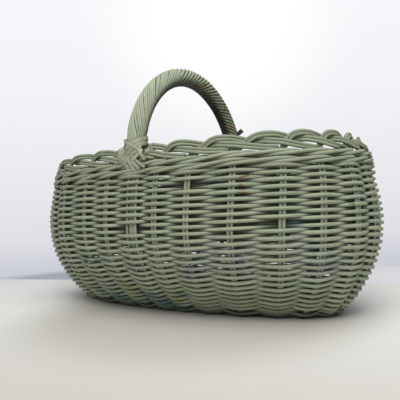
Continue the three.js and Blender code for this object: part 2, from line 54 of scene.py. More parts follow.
def placeCamera():
    turn, lift, roll = (math.radians(cameraView[k]) for k in ("azimuth", "elevation", "roll"))
    back = Vector((math.sin(turn) * math.cos(lift), -math.cos(turn) * math.cos(lift), math.sin(lift)))
    level = back.cross(Vector((0, 0, -1))).normalized()  # to the right, before the roll
    upright = back.cross(level)
    right = level * math.cos(roll) + upright * math.sin(roll)
    up = upright * math.cos(roll) - level * math.sin(roll)
    camera = placeObject("camera", bpy.data.cameras.new("camera"))
    camera.data.lens = cameraView["lens"]
    camera.data.clip_start, camera.data.clip_end = 0.01, 20
    place = (Vector(cameraView["target"]) + back * cameraView["distance"]) * mm
    camera.matrix_world = Matrix.Translation(place) @ Matrix((right, up, back)).transposed().to_4x4()
    scene.camera = camera


placeCamera()
print("camera placed")


def unit(rows):
    return rows / np.linalg.norm(rows, axis=-1, keepdims=True)


def distances(points):  # from the first point to each, along the row
    return np.concatenate([[0], np.cumsum(np.linalg.norm(np.diff(points, axis=0), axis=1))])


def eased(share):
    return share * share * (3 - 2 * share)


def fromPairs(at, pairs):
    return np.interp(at, *zip(*pairs))


# The wall: the same oval, bellied surface as the solids have, in mm
wall = {
    "halfLength": 203.5, "halfWidth": 109, "ovalPower": 2.154, "bellyHeight": 96, "rimHeight": 168.7,
    "endInsetLow": 40.5, "sideInsetLow": 58.5, "lowPower": 2.3,
    "endInsetHigh": 19.5, "sideInsetHigh": 5.1, "highPower": 1.43,
    "waleBottom": 139.5, "waleTop": 152.5, "baseInset": 7.6,
    "gaps": [27, 34, 42, 45, 36, 35.5, 28.5, 34.5, 34.5, 34.5, 39.5, 47, 35, 35],  # stake to stake
    "firstRun": -3.5,  # the first stake stands a little left of the middle of the near side
    "lean": 2.8, "squareLean": 13, "leanRise": 45,  # how far the stakes lean on above the belly
    "bowSpread": 4.8,  # the bow stands between the two rods of its stake, which part for it
    "bulge": [(128, 0), (139, 3.4), (152, 5.6), (158, 4.5), (168.7, 1.5)], "bulgeAt": 0.33,  # height, mm
    "half": 5.2}  # from the outside of the weave to the middle of the stakes


def wallHalves(z):
    low = np.maximum((wall["bellyHeight"] - z) / wall["bellyHeight"], 0) ** wall["lowPower"]
    rise = wall["rimHeight"] - wall["bellyHeight"]
    high = np.maximum((z - wall["bellyHeight"]) / rise, 0) ** wall["highPower"]
    return (wall["halfLength"] - wall["endInsetLow"] * low - wall["endInsetHigh"] * high,
            wall["halfWidth"] - wall["sideInsetLow"] * low - wall["sideInsetHigh"] * high)


def ovalPoint(halfLength, halfWidth, angle, z):
    cos, sin = np.cos(angle), np.sin(angle)
    power = 2 / wall["ovalPower"]
    x = halfLength * np.sign(cos) * np.abs(cos) ** power
    y = halfWidth * np.sign(sin) * np.abs(sin) ** power
    return np.stack(np.broadcast_arrays(x, y, z), -1).astype(float)


def wallPoint(angle, z):
    return ovalPoint(*wallHalves(z), angle, z)


def wallNormal(angle, z):
    sideways = wallPoint(angle + 0.01, z) - wallPoint(angle - 0.01, z)
    upwards = wallPoint(angle, z + 0.5) - wallPoint(angle, z - 0.5)
    return unit(np.cross(sideways, upwards))


tableAngles = np.linspace(-math.pi / 2, 1.5 * math.pi, 2881)
tableRuns = distances(wallPoint(tableAngles, wall["bellyHeight"]))
perimeter = tableRuns[-1]
stakeCount = 2 * len(wall["gaps"])
stakeGaps = np.array(wall["gaps"] * 2) * perimeter / (2 * sum(wall["gaps"]))
stakeRuns = wall["firstRun"] + np.concatenate([[0], np.cumsum(stakeGaps)[:-1]])
bowStakes = (0, len(wall["gaps"]))
uprightSteps = 120


def angleAt(run):
    turns = np.floor(np.asarray(run) / perimeter)
    return np.interp(run - turns * perimeter, tableRuns, tableAngles) + turns * 2 * math.pi


def leaned(run, z):  # the stakes stay upright near the ends instead of closing in with the wall
    angle = angleAt(run)
    rise = np.maximum(np.asarray(z) - wall["bellyHeight"], 0) / wall["leanRise"]
    return run + rise * (wall["lean"] + wall["squareLean"] * -np.cos(angle) * np.sin(angle))


def onWall(run, z, offset):  # a point at a distance round the wall, a height and an offset outwards
    angle = angleAt(leaned(run, z))
    out = wallNormal(angle, np.minimum(z, wall["rimHeight"] - 1))
    bulge = fromPairs(z, wall["bulge"]) * np.maximum(0, np.cos(angle - wall["bulgeAt"])) ** 12
    return wallPoint(angle, z) + out * (np.asarray(offset) + bulge - wall["half"])[..., None], out


def makeUpright(run, stake):
    heights = np.linspace(0, wall["waleTop"], uprightSteps)
    middle, out = onWall(run, heights, 0.0)
    climbed = distances(middle)
    waleRun = np.interp(wall["waleBottom"], heights, climbed)
    return {"run": run, "stake": stake, "middle": middle, "out": out, "climbed": climbed, "waleRun": waleRun}


def onUpright(upright, climb, offset):
    read = lambda rows: np.array([np.interp(climb, upright["climbed"], rows[:, i]) for i in range(3)])
    return read(upright["middle"]) + read(upright["out"]) * offset


stakes = [makeUpright(stakeRuns[stake], stake) for stake in range(stakeCount)]
firstStake = 18  # at the back, where the weavers climb
uprights = []
for turn in range(firstStake, firstStake + stakeCount):
    number = turn % stakeCount
    if number in bowStakes:
        uprights += [makeUpright(stakeRuns[number] + side * wall["bowSpread"], number) for side in (-1, 1)]
    else:
        uprights.append(stakes[number])
print("wall laid out,", stakeCount, "stakes round", round(perimeter), "mm")


def smoothPath(stops, step, **channels):
    stops = np.asarray(stops, float)
    gaps = np.maximum(np.linalg.norm(np.diff(stops, axis=0), axis=1), 1e-3)
    at = np.concatenate([[0], np.cumsum(gaps)])
    slope = np.empty_like(stops)
    slope[1:-1] = (stops[2:] - stops[:-2]) / (at[2:] - at[:-2])[:, None]
    slope[0], slope[-1] = (stops[1] - stops[0]) / gaps[0], (stops[-1] - stops[-2]) / gaps[-1]
    counts = np.maximum(2, np.ceil(gaps / step)).astype(int)
    i = np.repeat(np.arange(len(gaps)), counts)
    t = np.concatenate([np.arange(count) / count for count in counts])
    h = gaps[i][:, None]
    u = t[:, None]
    points = ((2 * u**3 - 3 * u**2 + 1) * stops[i] + (u**3 - 2 * u**2 + u) * h * slope[i]
              + (3 * u**2 - 2 * u**3) * stops[i + 1] + (u**3 - u**2) * h * slope[i + 1])
    points = np.vstack([points, stops[-1]])
    travelled = np.append(at[i] + t * gaps[i], at[-1])
    made = {"points": points, "travelled": travelled}
    for name, row in channels.items():
        if np.ndim(row) == 1:
            made[name] = np.interp(travelled, at, row)
        else:
            made[name] = np.stack([np.interp(travelled, at, part) for part in np.transpose(row)], -1)
    return made


def addNode(tree, kind, inputs=(), **settings):  # an input is a value, a socket or a node's first output
    node = tree.nodes.new(kind)
    for name, value in settings.items():
        setattr(node, name, value)
    for name, value in inputs.items() if isinstance(inputs, dict) else enumerate(inputs):
        if isinstance(value, bpy.types.Node):
            value = value.outputs[0]
        if isinstance(value, bpy.types.NodeSocket):
            tree.links.new(value, node.inputs[name])
        else:
            node.inputs[name].default_value = value
    return node


def colour(code):  # an sRGB hex value as linear light
    parts = [int(code[i:i + 2], 16) / 255 for i in (1, 3, 5)]
    return tuple(c / 12.92 if c < 0.04045 else ((c + 0.055) / 1.055) ** 2.4 for c in parts) + (1,)


def emptyTree(owner):  # the nodes of a material or of the world
    owner.use_nodes = True
    owner.node_tree.nodes.clear()
    return owner.node_tree


# Marks on the paint, by the attribute that they raise: place in mm, and reach in mm
marks = {
    "chip": [(112, -90.4, 133.4, 5), (117, -90, 133.4, 4.4), (109, -92, 128, 4.4), (114, -91.5, 128, 4.4),
             (110, -92.3, 121.8, 5), (116, -91.5, 121.8, 4.4), (108, -93, 116.2, 4.4),
             (113, -92.5, 116.2, 4.4), (4.8, 73.2, 209.4, 3.2), (8.6, 78.2, 207.7, 3.2), (187, -41, 104, 4),
             (9.9, 10.3, 250.6, 2.6), (9.6, 19, 248.3, 2.6)],
    "teal": [(-89.6, -64, 17.5, 8), (-80.5, -63.1, 15, 10), (-70, -61, 11, 12), (-60.8, -60.9, 10.5, 11),
             (-61.5, -66.5, 15.5, 9), (-47, -60, 9, 10), (-32.8, -60.3, 8, 10), (-23, -60, 8, 12),
             (-11.5, -72, 17.5, 15), (-2, -67.7, 13.5, 16), (6, -63, 10, 15), (33, -76, 22, 8),
             (-77, -94.1, 54.5, 8), (-61.9, -98.7, 59.5, 7), (148, -69, 91.5, 6.5)],
    "thin": [(96, -93, 64, 30), (152, -72, 70, 26), (163, -57, 54, 24), (60, -95, 50, 24), (3, 0, 246, 12),
             (3, 14, 247, 18), (3, 34, 241, 20), (4, 55, 230, 17)],
    "pale": [(50.8, -104.8, 124.9, 4), (39.5, -105.2, 135.7, 3.5), (14.7, -100.2, 163, 5)],
    "ochre": [(-33.3, -83.7, 30.5, 5), (-28.5, -79.1, 25, 7), (-32.8, -66.9, 13.5, 6), (23.4, -70.1, 16, 7),
              (41, -63.4, 11, 7)],
}


def paintedCane(name, finish):
    # Brush-painted wicker: soft eggshell oil paint over cane, thin and chalky where the brush missed,
    # streaked along the grain, with the bare brown cane in chips
    # It also carries painted shade: darker where a rod runs behind a stake, along its sides against the next
    # rod, and towards the foot
    material = bpy.data.materials.new(name)
    tree = emptyTree(material)
    colours = {key: colour(code) for key, code in finish.items() if isinstance(code, str)}
    place = addNode(tree, "ShaderNodeTexCoord").outputs["Object"]
    height = addNode(tree, "ShaderNodeSeparateXYZ", (place,)).outputs["Z"]
    noise = {}
    for label, size, detail, stretch, shift in (  # size in mm
            ("streak", 1.6, 3, finish["grain"], 0), ("cloud", 22, 2, (1, 1, 1), 0),
            ("mottle", 4.5, 3, (1, 1, 1), 3), ("speck", 1.5, 1, (5, 5, 1), 0)):
        scale = [1 / (size * mm * s) for s in stretch]
        at = addNode(tree, "ShaderNodeMapping", {"Vector": place, "Scale": scale, "Location": (shift,) * 3})
        noise[label] = addNode(tree, "ShaderNodeTexNoise", {"Vector": at, "Scale": 1.0, "Detail": detail})
    given = {label: addNode(tree, "ShaderNodeAttribute", attribute_name=label).outputs["Fac"]
             for label in ("recess", "tone", "side", *marks)}
    ramps = {  # a value, the range that it is read over, and what that becomes
        "cool": (noise["cloud"], 0.35, 0.65), "warm": (noise["mottle"], 0.45, 0.75, 0, 0.5),
        "streaks": (noise["streak"], 0.3, 0.7, 0.9, 1.08), "patches": (noise["mottle"], 0.3, 0.6),
        "thinInRecess": (given["recess"], 0.35, 1, 0, finish["thinInRecess"]),
        "brushed": (noise["mottle"], 0.46, 0.6, 0, 0.8),
        # dark, between and deep: painted shade in the recesses and between rods
        "dark": (given["recess"], 0.4, 1.0, 0, finish["darkInRecess"]),
        "shadeAndGrime": (height, 2 * mm, 11 * mm, 0.8, 0),  # painted shade, darker towards the foot
        "tealPatches": (noise["mottle"], 0.34, 0.54, 0.4, 1.0), "specks": (noise["speck"], 0.34, 0.52),
        "dull": (noise["cloud"], 0.4, 0.6), "pale": (given["pale"], 0.1, 0.5, 0, 0.85),
        "ochre": (given["ochre"], 0.2, 0.6, 0, 0.8),
        "between": (given["side"], finish["betweenFrom"], 0.95, 0, finish["darkBetween"]),
        "deep": (given["recess"], 0, 0.8, finish["betweenInOpen"], 1.0),
        "rough": (noise["mottle"], 0.3, 0.7, finish["roughness"] - 0.06, finish["roughness"] + 0.08)}
    for label, values in ramps.items():
        ramps[label] = addNode(tree, "ShaderNodeMapRange", values)
    sums = {}
    for label, operation, *values in (
            ("thinInRecess", "MULTIPLY", ramps["thinInRecess"], ramps["patches"]),
            ("brushed", "MULTIPLY", given["thin"], ramps["brushed"]),
            ("thin", "MAXIMUM", "thinInRecess", "brushed"),
            ("teal", "MULTIPLY", given["teal"], ramps["tealPatches"]),
            ("worn", "MULTIPLY", given["chip"], ramps["specks"]),
            ("between", "MULTIPLY", ramps["between"], ramps["deep"]),
            ("spread", "MULTIPLY_ADD", given["tone"], finish["toneSpread"], 1.0),
            ("tone", "MULTIPLY", "spread", ramps["streaks"])):
        values = [sums[value] if isinstance(value, str) else value for value in values]
        sums[label] = addNode(tree, "ShaderNodeMath", values, operation=operation)
    chip = addNode(tree, "ShaderNodeMapRange", (sums["worn"], 0.3, 0.42))
    grey = addNode(tree, "ShaderNodeCombineColor", [sums["tone"]] * 3)
    bare = addNode(tree, "ShaderNodeMix", {0: ramps["dull"], 6: colours["cane"], 7: colours["caneDull"]},
                   data_type="RGBA").outputs[2]
    base = colours["paint"]
    for share, shade in (  # each layer over the ones before it
            (ramps["cool"], colours["paintCool"]), (ramps["warm"], colours["paintWarm"]), (1.0, grey),
            (sums["thin"], colours["thinPaint"]), (ramps["dark"], colours["shade"]),
            (ramps["shadeAndGrime"], colours["deepShade"]), (sums["teal"], colours["teal"]), (chip, bare),
            (ramps["pale"], colours["pale"]), (ramps["ochre"], colours["ochre"]),
            (sums["between"], colours["deepShade"])):
        base = addNode(tree, "ShaderNodeMix", {0: share, 6: base, 7: shade}, data_type="RGBA",
                       blend_type="MULTIPLY" if shade is grey else "MIX").outputs[2]
    sunk = addNode(tree, "ShaderNodeMath", (chip, 0.8), operation="MULTIPLY")
    relief = addNode(tree, "ShaderNodeMath", (noise["streak"], sunk), operation="SUBTRACT")
    bump = addNode(tree, "ShaderNodeBump", {
        "Height": relief, "Strength": finish["bump"], "Distance": 0.25 * mm})
    shader = addNode(tree, "ShaderNodeBsdfPrincipled", {
        "Base Color": base, "Roughness": ramps["rough"], "Normal": bump, "IOR": 1.48,
        "Specular IOR Level": finish["specular"]})
    addNode(tree, "ShaderNodeOutputMaterial", {"Surface": shader})
    return material


sage = {"paint": "#9ba287", "paintCool": "#929d87", "paintWarm": "#a2a286", "thinPaint": "#8a8e94",
        "shade": "#30362b", "deepShade": "#191d16", "teal": "#4c6b64", "cane": "#7d4c33",
        "caneDull": "#7c674c", "pale": "#c3c5bb", "ochre": "#8d8648", "grain": (5, 5, 1), "toneSpread": 0.09,
        "thinInRecess": 0.4, "darkInRecess": 0.88, "betweenFrom": 0.42, "darkBetween": 0.85,
        "betweenInOpen": 1.0, "roughness": 0.55, "specular": 0.35, "bump": 0.35}
sageWeavers = paintedCane("sage oil paint on cane weavers", sage)
sageStakes = paintedCane("sage oil paint on cane stakes", {**sage, "grain": (1, 1, 5)})
# The border's copy of the paint is a little darker than the weavers': painted shade
sageBorder = paintedCane("sage oil paint on the border", {
    **sage, "paint": "#8f967b", "paintCool": "#869179", "paintWarm": "#96967b", "darkBetween": 0.92,
    "betweenFrom": 0.4})
sageHandle = paintedCane("worn sage oil paint on the handle roping", {
    **sage, "paint": "#a1a78d", "paintCool": "#99a48e", "paintWarm": "#a8a78c", "thinPaint": "#8a6a48",
    "grain": (1, 2, 4), "shade": "#2a2b22", "deepShade": "#12150f", "betweenFrom": 0.3,
    "darkBetween": 0.97, "betweenInOpen": 0.3, "cane": "#b0744a", "caneDull": "#a87f5c"})
sageLashing = paintedCane("sage oil paint on split cane", {
    **sage, "paint": "#a6ac92", "paintCool": "#9ea78f", "grain": (3, 3, 3), "betweenFrom": 0.3,
    "darkBetween": 0.93})
sageBase = paintedCane("sage oil paint on the base rods", {**sage, "paint": "#8e9579"})
print("paint mixed")


def newTree(name, given, made):
    tree = bpy.data.node_groups.new(name, "GeometryNodeTree")
    sockets = {}
    for label, kind, value in given:
        socket = tree.interface.new_socket(label, in_out="INPUT", socket_type="NodeSocket" + kind)
        if value is not None:
            socket.default_value = value
        sockets[label] = socket.identifier
    tree.interface.new_socket(made, in_out="OUTPUT", socket_type="NodeSocketGeometry")
    group = addNode(tree, "NodeGroupInput")
    return tree, {label: group.outputs[label] for label in sockets}, sockets


def sweepAndPaint(tree, asked, lines, lumps, radius):  # a round section along every line
    lump = addNode(tree, "ShaderNodeMath", (lumps, 0.5), operation="SUBTRACT")
    grown = addNode(tree, "ShaderNodeMath", (lump, asked["Unevenness"], 1.0), operation="MULTIPLY_ADD")
    scale = addNode(tree, "ShaderNodeMath", (grown, radius), operation="MULTIPLY")
    section = addNode(tree, "GeometryNodeCurvePrimitiveCircle", {"Resolution": asked["Sides"], "Radius": 1.0})
    swept = addNode(tree, "GeometryNodeCurveToMesh", {
        "Curve": lines, "Profile Curve": section, "Scale": scale, "Fill Caps": True})
    smooth = addNode(tree, "GeometryNodeSetShadeSmooth", {"Geometry": swept})
    normal = addNode(tree, "GeometryNodeInputNormal")
    face = addNode(tree, "GeometryNodeInputNamedAttribute", {"Name": "face"}, data_type="FLOAT_VECTOR")
    facing = addNode(tree, "ShaderNodeVectorMath", (face, normal), operation="DOT_PRODUCT").outputs["Value"]
    # "side" is 0 on the face of a rod and 1 where it lies against the next one; the paint darkens it there as
    # painted shade
    facing = addNode(tree, "ShaderNodeMath", (facing,), operation="ABSOLUTE")
    side = addNode(tree, "ShaderNodeMath", (1.0, facing), operation="SUBTRACT")
    sided = addNode(tree, "GeometryNodeStoreNamedAttribute", {
        "Geometry": smooth, "Name": "side", "Value": side}, data_type="FLOAT", domain="POINT")
    real = addNode(tree, "GeometryNodeRealizeInstances", {"Geometry": sided})
    painted = addNode(tree, "GeometryNodeSetMaterial", {"Geometry": real, "Material": asked["Finish"]})
    addNode(tree, "NodeGroupOutput", (painted,))


def makeSweepTree():
    tree, asked, sockets = newTree("sweepRods", (
        ("Rods", "Geometry", None), ("Sides", "Int", 8), ("Unevenness", "Float", 0.06),
        ("Knot Spacing", "Float", 0.02), ("Seed", "Int", 3), ("Finish", "Material", None)), "Rods")
    lines = addNode(tree, "GeometryNodeMeshToCurve", {"Mesh": asked["Rods"]})
    where = addNode(tree, "GeometryNodeInputPosition")
    finer = addNode(tree, "ShaderNodeMath", (1.0, asked["Knot Spacing"]), operation="DIVIDE")
    lumps = addNode(tree, "ShaderNodeTexNoise", {
        "Vector": where, "W": asked["Seed"], "Scale": finer, "Detail": 1.0}, noise_dimensions="4D")
    radius = addNode(tree, "GeometryNodeInputNamedAttribute", {"Name": "radius"}, data_type="FLOAT")
    sweepAndPaint(tree, asked, lines, lumps, radius)
    return tree, sockets


sweepTree, sweepSockets = makeSweepTree()
rodAttributes = ("radius", "recess", "tone")


def markStrength(points, kind):
    strength = np.zeros(len(points))
    for *place, reach in marks[kind]:
        away = (points - np.array(place)) * (1, 1, 1.9)  # brush marks lie along the rods
        far = np.linalg.norm(away, axis=1) / reach
        strength = np.maximum(strength, np.clip(1.4 - far, 0, 1))
    return strength


def give(mesh, name, rows, kind="FLOAT"):  # one value for each point
    attribute = mesh.attributes.get(name) or mesh.attributes.new(name, kind, "POINT")
    values = np.asarray(rows, np.float32).ravel()
    attribute.data.foreach_set("vector" if kind == "FLOAT_VECTOR" else "value", values)


def markPiece(piece):  # each point of the finished surface takes the marks that it lies in
    places = np.empty(3 * len(piece.data.vertices))
    piece.data.vertices.foreach_get("co", places)
    for kind in marks:
        give(piece.data, kind, markStrength(places.reshape(-1, 3) / mm, kind))


def plainMesh(holder, tree, sockets, values):  # runs the tree and keeps its result as a mesh
    modifier = holder.modifiers.new(tree.name, "NODES")
    modifier.node_group = tree
    for name, value in values.items():
        modifier[sockets[name]] = value
    graph = bpy.context.evaluated_depsgraph_get()
    mesh = bpy.data.meshes.new_from_object(holder.evaluated_get(graph), depsgraph=graph)
    old = holder.data
    holder.modifiers.remove(modifier)
    holder.data = mesh
    bpy.data.meshes.remove(old)
    mesh.name = holder.name
    markPiece(holder)
    return holder


def makeLines(name, rods, attributes):  # rods in mm become chains of edges in metres
    points = np.vstack([rod["points"] for rod in rods])
    mesh = bpy.data.meshes.new(name)
    edges, start = [], 0
    for rod in rods:
        count = len(rod["points"])
        edges += [(start + i, start + i + 1) for i in range(count - 1)]
        start += count
    mesh.from_pydata((points * mm).tolist(), edges, [])
    for key in attributes:
        row = np.concatenate([np.broadcast_to(rod.get(key, 0.0), len(rod["points"])) for rod in rods])
        give(mesh, key, row * mm if key == "radius" else row)
    faces = np.vstack([np.broadcast_to(rod["face"], rod["points"].shape) for rod in rods])
    give(mesh, "face", faces, "FLOAT_VECTOR")
    return placeObject(name, mesh)


def sweep(name, rods, material, sides=8, unevenness=0.08):
    holder = makeLines(name, rods, rodAttributes)
    return plainMesh(holder, sweepTree, sweepSockets, {
        "Sides": sides, "Unevenness": unevenness, "Knot Spacing": 0.02, "Seed": 3, "Finish": material})


def handOver(piece, slot, *nodes):
    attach(piece, "root")
    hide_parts(*nodes)
    print(piece.name, len(piece.data.polygons), "faces")


# Wale: three rods for two rounds, each in front of two stakes and behind one
wale = {
    "rods": 3, "rounds": 2, "rodRadius": 1.78, "offset": 3.4, "step": 4,
    "lift": [(0, 0), (2, 0), (3, 2.1), (5, 1.7), (7, 2.2), (11, 0), (28, 0)],  # stake, mm
    "heights": [0.5, 1.5, 1.0], "sides": [1, 1, -1],
    "scatter": 0.05, "endPoints": 5, "endSize": 0.4}

# Side weave: two weavers chase each other, one in front of the even stakes and one in front of the odd
weave = {
    "rows": 47, "pitchRows": 46, "lowestClimb": 9, "topGap": 1.2, "packedFrom": 36, "packing": 0.014,
    "rodRadius": 1.88, "squeezedRadius": 1.78,
    "footClimbs": (-3.2, -0.7, 1.8, 4.4, 7.4), "footRadius": (1.35, 1.35, 1.4, 1.7, 1.7),
    "footOffset": (2.5, 2.5, 2.7, 3.4, 3.4),  # the first two rows lie flat beside the base
    "offset": 3.4, "climbPlaces": 7, "rodLength": 1150, "step": 4.6,
    "tilt": 1.7, "tiltAngle": -20, "sag": 1.0,
    "swing": (0.3, 33, 0.17), "ripple": (0.22, 13, 0.9),  # mm, mm round the wall, turn for each row
    "scatter": 0.12, "endPoints": 6, "endSize": 0.3,
    "size": [(0, 0.92), (14, 1)],  # row, share of the radius
    "butt": 1.05, "taper": 0.12,  # from butt to tip of each length
    "missing": {(0, 30), (2, 42), (4, 30)}}  # stake and row of the strokes that have broken away


def waleLift(passed):  # how far the wale has been pushed up here, in mm
    return fromPairs(passed, wale["lift"])


def rodThrough(strokes, step, **channels):  # strokes: place, side of the stakes, way out of the wall
    stops, sides, outs = zip(*strokes)
    return smoothPath(stops, step, recess=(1 - np.array(sides)) / 2, face=outs, **channels)


def makeWeaver(weaver):
    places = len(uprights)
    turns = (weave["rows"] + 1 - weaver) // 2
    climbPlaces = weave["climbPlaces"]
    phases = rng.uniform(0, 2 * math.pi, 6)
    strokes, radii = [], []
    for n in range(3, turns * places + 3):
        turn, j = divmod(n, places)
        upright = uprights[j]
        share = min(1, j / climbPlaces)
        row = 2 * turn + weaver - 2 * (1 - eased(share))
        stroke = (upright["stake"], round(row))
        outside = (upright["stake"] + weaver) % 2 == 0 and stroke not in weave["missing"]
        angle = angleAt(upright["run"])
        top = upright["waleRun"] - weave["topGap"]
        pitch = (top - weave["lowestClimb"]) / weave["pitchRows"]
        middle = math.sin(math.pi * np.clip((row + 0.5) / weave["pitchRows"], 0, 1)) ** 0.5
        drift = weave["tilt"] * math.cos(angle - math.radians(weave["tiltAngle"])) - weave["sag"]
        swing = rng.normal(0, weave["scatter"])
        for (size, wave, drifting), phase in zip((weave["swing"], weave["ripple"]), phases):
            swing += size * math.sin(upright["run"] / wave + row * drifting + phase)
        climb = weave["lowestClimb"] + (row + 0.5) * pitch + (drift + swing) * middle
        climb -= weave["packing"] * max(0, row - weave["packedFrom"]) ** 2
        climb += waleLift(upright["stake"]) * (max(0, row) / weave["pitchRows"]) ** 8
        side = 1 if outside else -1
        offset = weave["offset"] + rng.normal(0, weave["scatter"])
        strokes.append((onUpright(upright, climb, side * offset), side, upright["out"][uprightSteps // 2]))
        radii.append(weave["rodRadius"] * fromPairs(row, weave["size"]))
    rod = rodThrough(strokes, weave["step"], radius=radii)
    rod["recess"] = eased(rod["recess"])
    crossing = 1 - np.abs(2 * rod["recess"] - 1)
    rod["radius"] = rod["radius"] + (weave["squeezedRadius"] - weave["rodRadius"]) * crossing ** 2
    lengths = rod["travelled"] / weave["rodLength"] + rng.random()
    number = np.floor(lengths).astype(int)
    part = lengths - number
    rod["radius"] = rod["radius"] * (weave["butt"] - weave["taper"] * part)
    tones = rng.uniform(-1, 1, number.max() + 1)
    rod["tone"] = tones[number] + 0.5 * np.sin(rod["travelled"] / 47 + phases[2])
    steps = np.arange(len(number))
    fromEnd = np.minimum(steps, steps[::-1])
    rod["radius"] = rod["radius"] * np.minimum(1, fromEnd / weave["endPoints"] + weave["endSize"])
    return rod


def makeFootRow(row):  # one turn under the lowest rows, from the base up to the wall
    climb, offset = weave["footClimbs"][row], weave["footOffset"][row]
    strokes = []
    for upright in uprights + uprights[:1]:
        side = 1 if (upright["stake"] + row) % 2 == 0 else -1
        if climb < 0:
            foot = upright["middle"][0] + unit(upright["out"][0] * (1, 1, 0)) * climb
            place = foot - np.array((0, 0, side * offset if side < 0 else offset - 0.3))
        else:
            place = onUpright(upright, climb, side * offset)
        strokes.append((place, side, upright["out"][0]))
    rod = rodThrough(strokes, weave["step"])
    rod.update({"radius": weave["footRadius"][row], "tone": -0.5})
    return rod


for weaver, letter in enumerate("ab"):
    footRows = [makeFootRow(row) for row in range(len(weave["footClimbs"])) if row % 2 != weaver]
    piece = sweep("weavers_" + letter, [makeWeaver(weaver)] + footRows, sageWeavers)
    handOver(piece, "weavers", *[f"weaver_{letter}_{i}" for i in (1, 2, 3, 4)])


def waleStop(upright, height, offset):
    bottom, top = upright["waleRun"], upright["climbed"][-1]
    climb = bottom + height * (top - bottom) / (2 * wale["rounds"]) + waleLift(upright["stake"])
    return onUpright(upright, climb, offset)


def makeWaleRod(rod):
    strokes, step, last = [], 0, None
    for turn in range(wale["rounds"]):
        for upright in uprights:
            if last and upright["stake"] != last["upright"]["stake"]:
                step += 1
            phase = (step + rod) % 3
            side, height = wale["sides"][phase], 2 * turn + wale["heights"][phase]
            if last and last["phase"] != phase and last["side"] != side:
                level = 2 * turn + wale["heights"][1 if phase == 2 else 0]
                a = waleStop(last["upright"], level, 0)
                b = waleStop(upright, level, 0)
                strokes.append(((a + b) / 2, 0, upright["out"][-1]))
            place = waleStop(upright, height + rng.normal(0, wale["scatter"]), side * wale["offset"])
            strokes.append((place, side, upright["out"][-1]))
            last = {"phase": phase, "side": side, "upright": upright}
    made = rodThrough(strokes, wale["step"])
    run = np.arange(len(made["points"]))
    fromEnd = np.minimum(run, run[::-1])
    made["radius"] = wale["rodRadius"] * np.minimum(1, fromEnd / wale["endPoints"] + wale["endSize"])
    made["tone"] = rng.uniform(-0.6, 0.6) + 0.6 * np.sin(run / 31 + rod)
    return made


piece = sweep("waleRods", [makeWaleRod(rod) for rod in range(wale["rods"])], sageWeavers)
handOver(piece, "weavers", "wale_rod_1", "wale_rod_2", "wale_rod_3")

# The bow of the handle: one thick rod, with a flat tail at each end that runs down between the two
# rods of a stake
bow = {"radius": 4.5, "tailWidth": 7, "tailThickness": 3.2, "tailBottom": 35, "neck": 0.03}

# Stakes: pairs of rods that rise through the weave and end plaited along the rim
stake = {
    "rodRadius": 1.6, "pairSpacing": 3.25, "footSpacing": 1.7, "fullWidthHeight": 62, "step": 3.2,
    "borderSpacing": 2.85, "startBesideBow": 0.68, "leanBesideBow": 0.2,
    "paintedLightInWall": 6.5, "paintedLightFade": 8,  # painted light: how much paler than the border the stakes are painted inside the wall, where the weave shades them, and over how many mm
    "heights": (0, 6, 14, 26, 42, 62, 84, 108, 130),
    "proud": 0.8, "proudFrom": 26,  # how far the wall's part stands out, above a height
    "bareReach": 6, "bareTone": 0.2,  # round a broken stroke
    "borderLift": [(0, 0), (2, 0.3), (3, 1.7), (4, 2.7), (5, 3.3), (6, 3.4), (7, 1.6),
                   (8, -0.4), (9.5, 0), (31, 0)],
    "riserShift": {1: 0.16, 2: 0.2, 3: 0.12, 26: 0.12, 27: 0.1},  # stakes that lean on further
    "border": [  # stakes passed, offset outwards, height under the rim
        (0.0, 0.0, 16.4), (0.1, 0.5, 11.8), (0.2, 1.5, 7.6), (0.32, 2.2, 4.7), (0.48, 2.3, 3.2),
        (0.7, 1.4, 2.9), (0.92, -0.6, 3.1), (1.12, -2.6, 4.2), (1.3, -3.0, 6.1), (1.5, -1.2, 7.3),
        (1.72, 1.4, 8.5), (2.05, 3.2, 10.8), (2.4, 3.2, 13.4), (2.72, 2.4, 14.8), (2.93, 1.4, 15.4)]}


def baseHalves():
    halfLength, halfWidth = wallHalves(0.0)
    return halfLength - wall["baseInset"], halfWidth - wall["baseInset"]


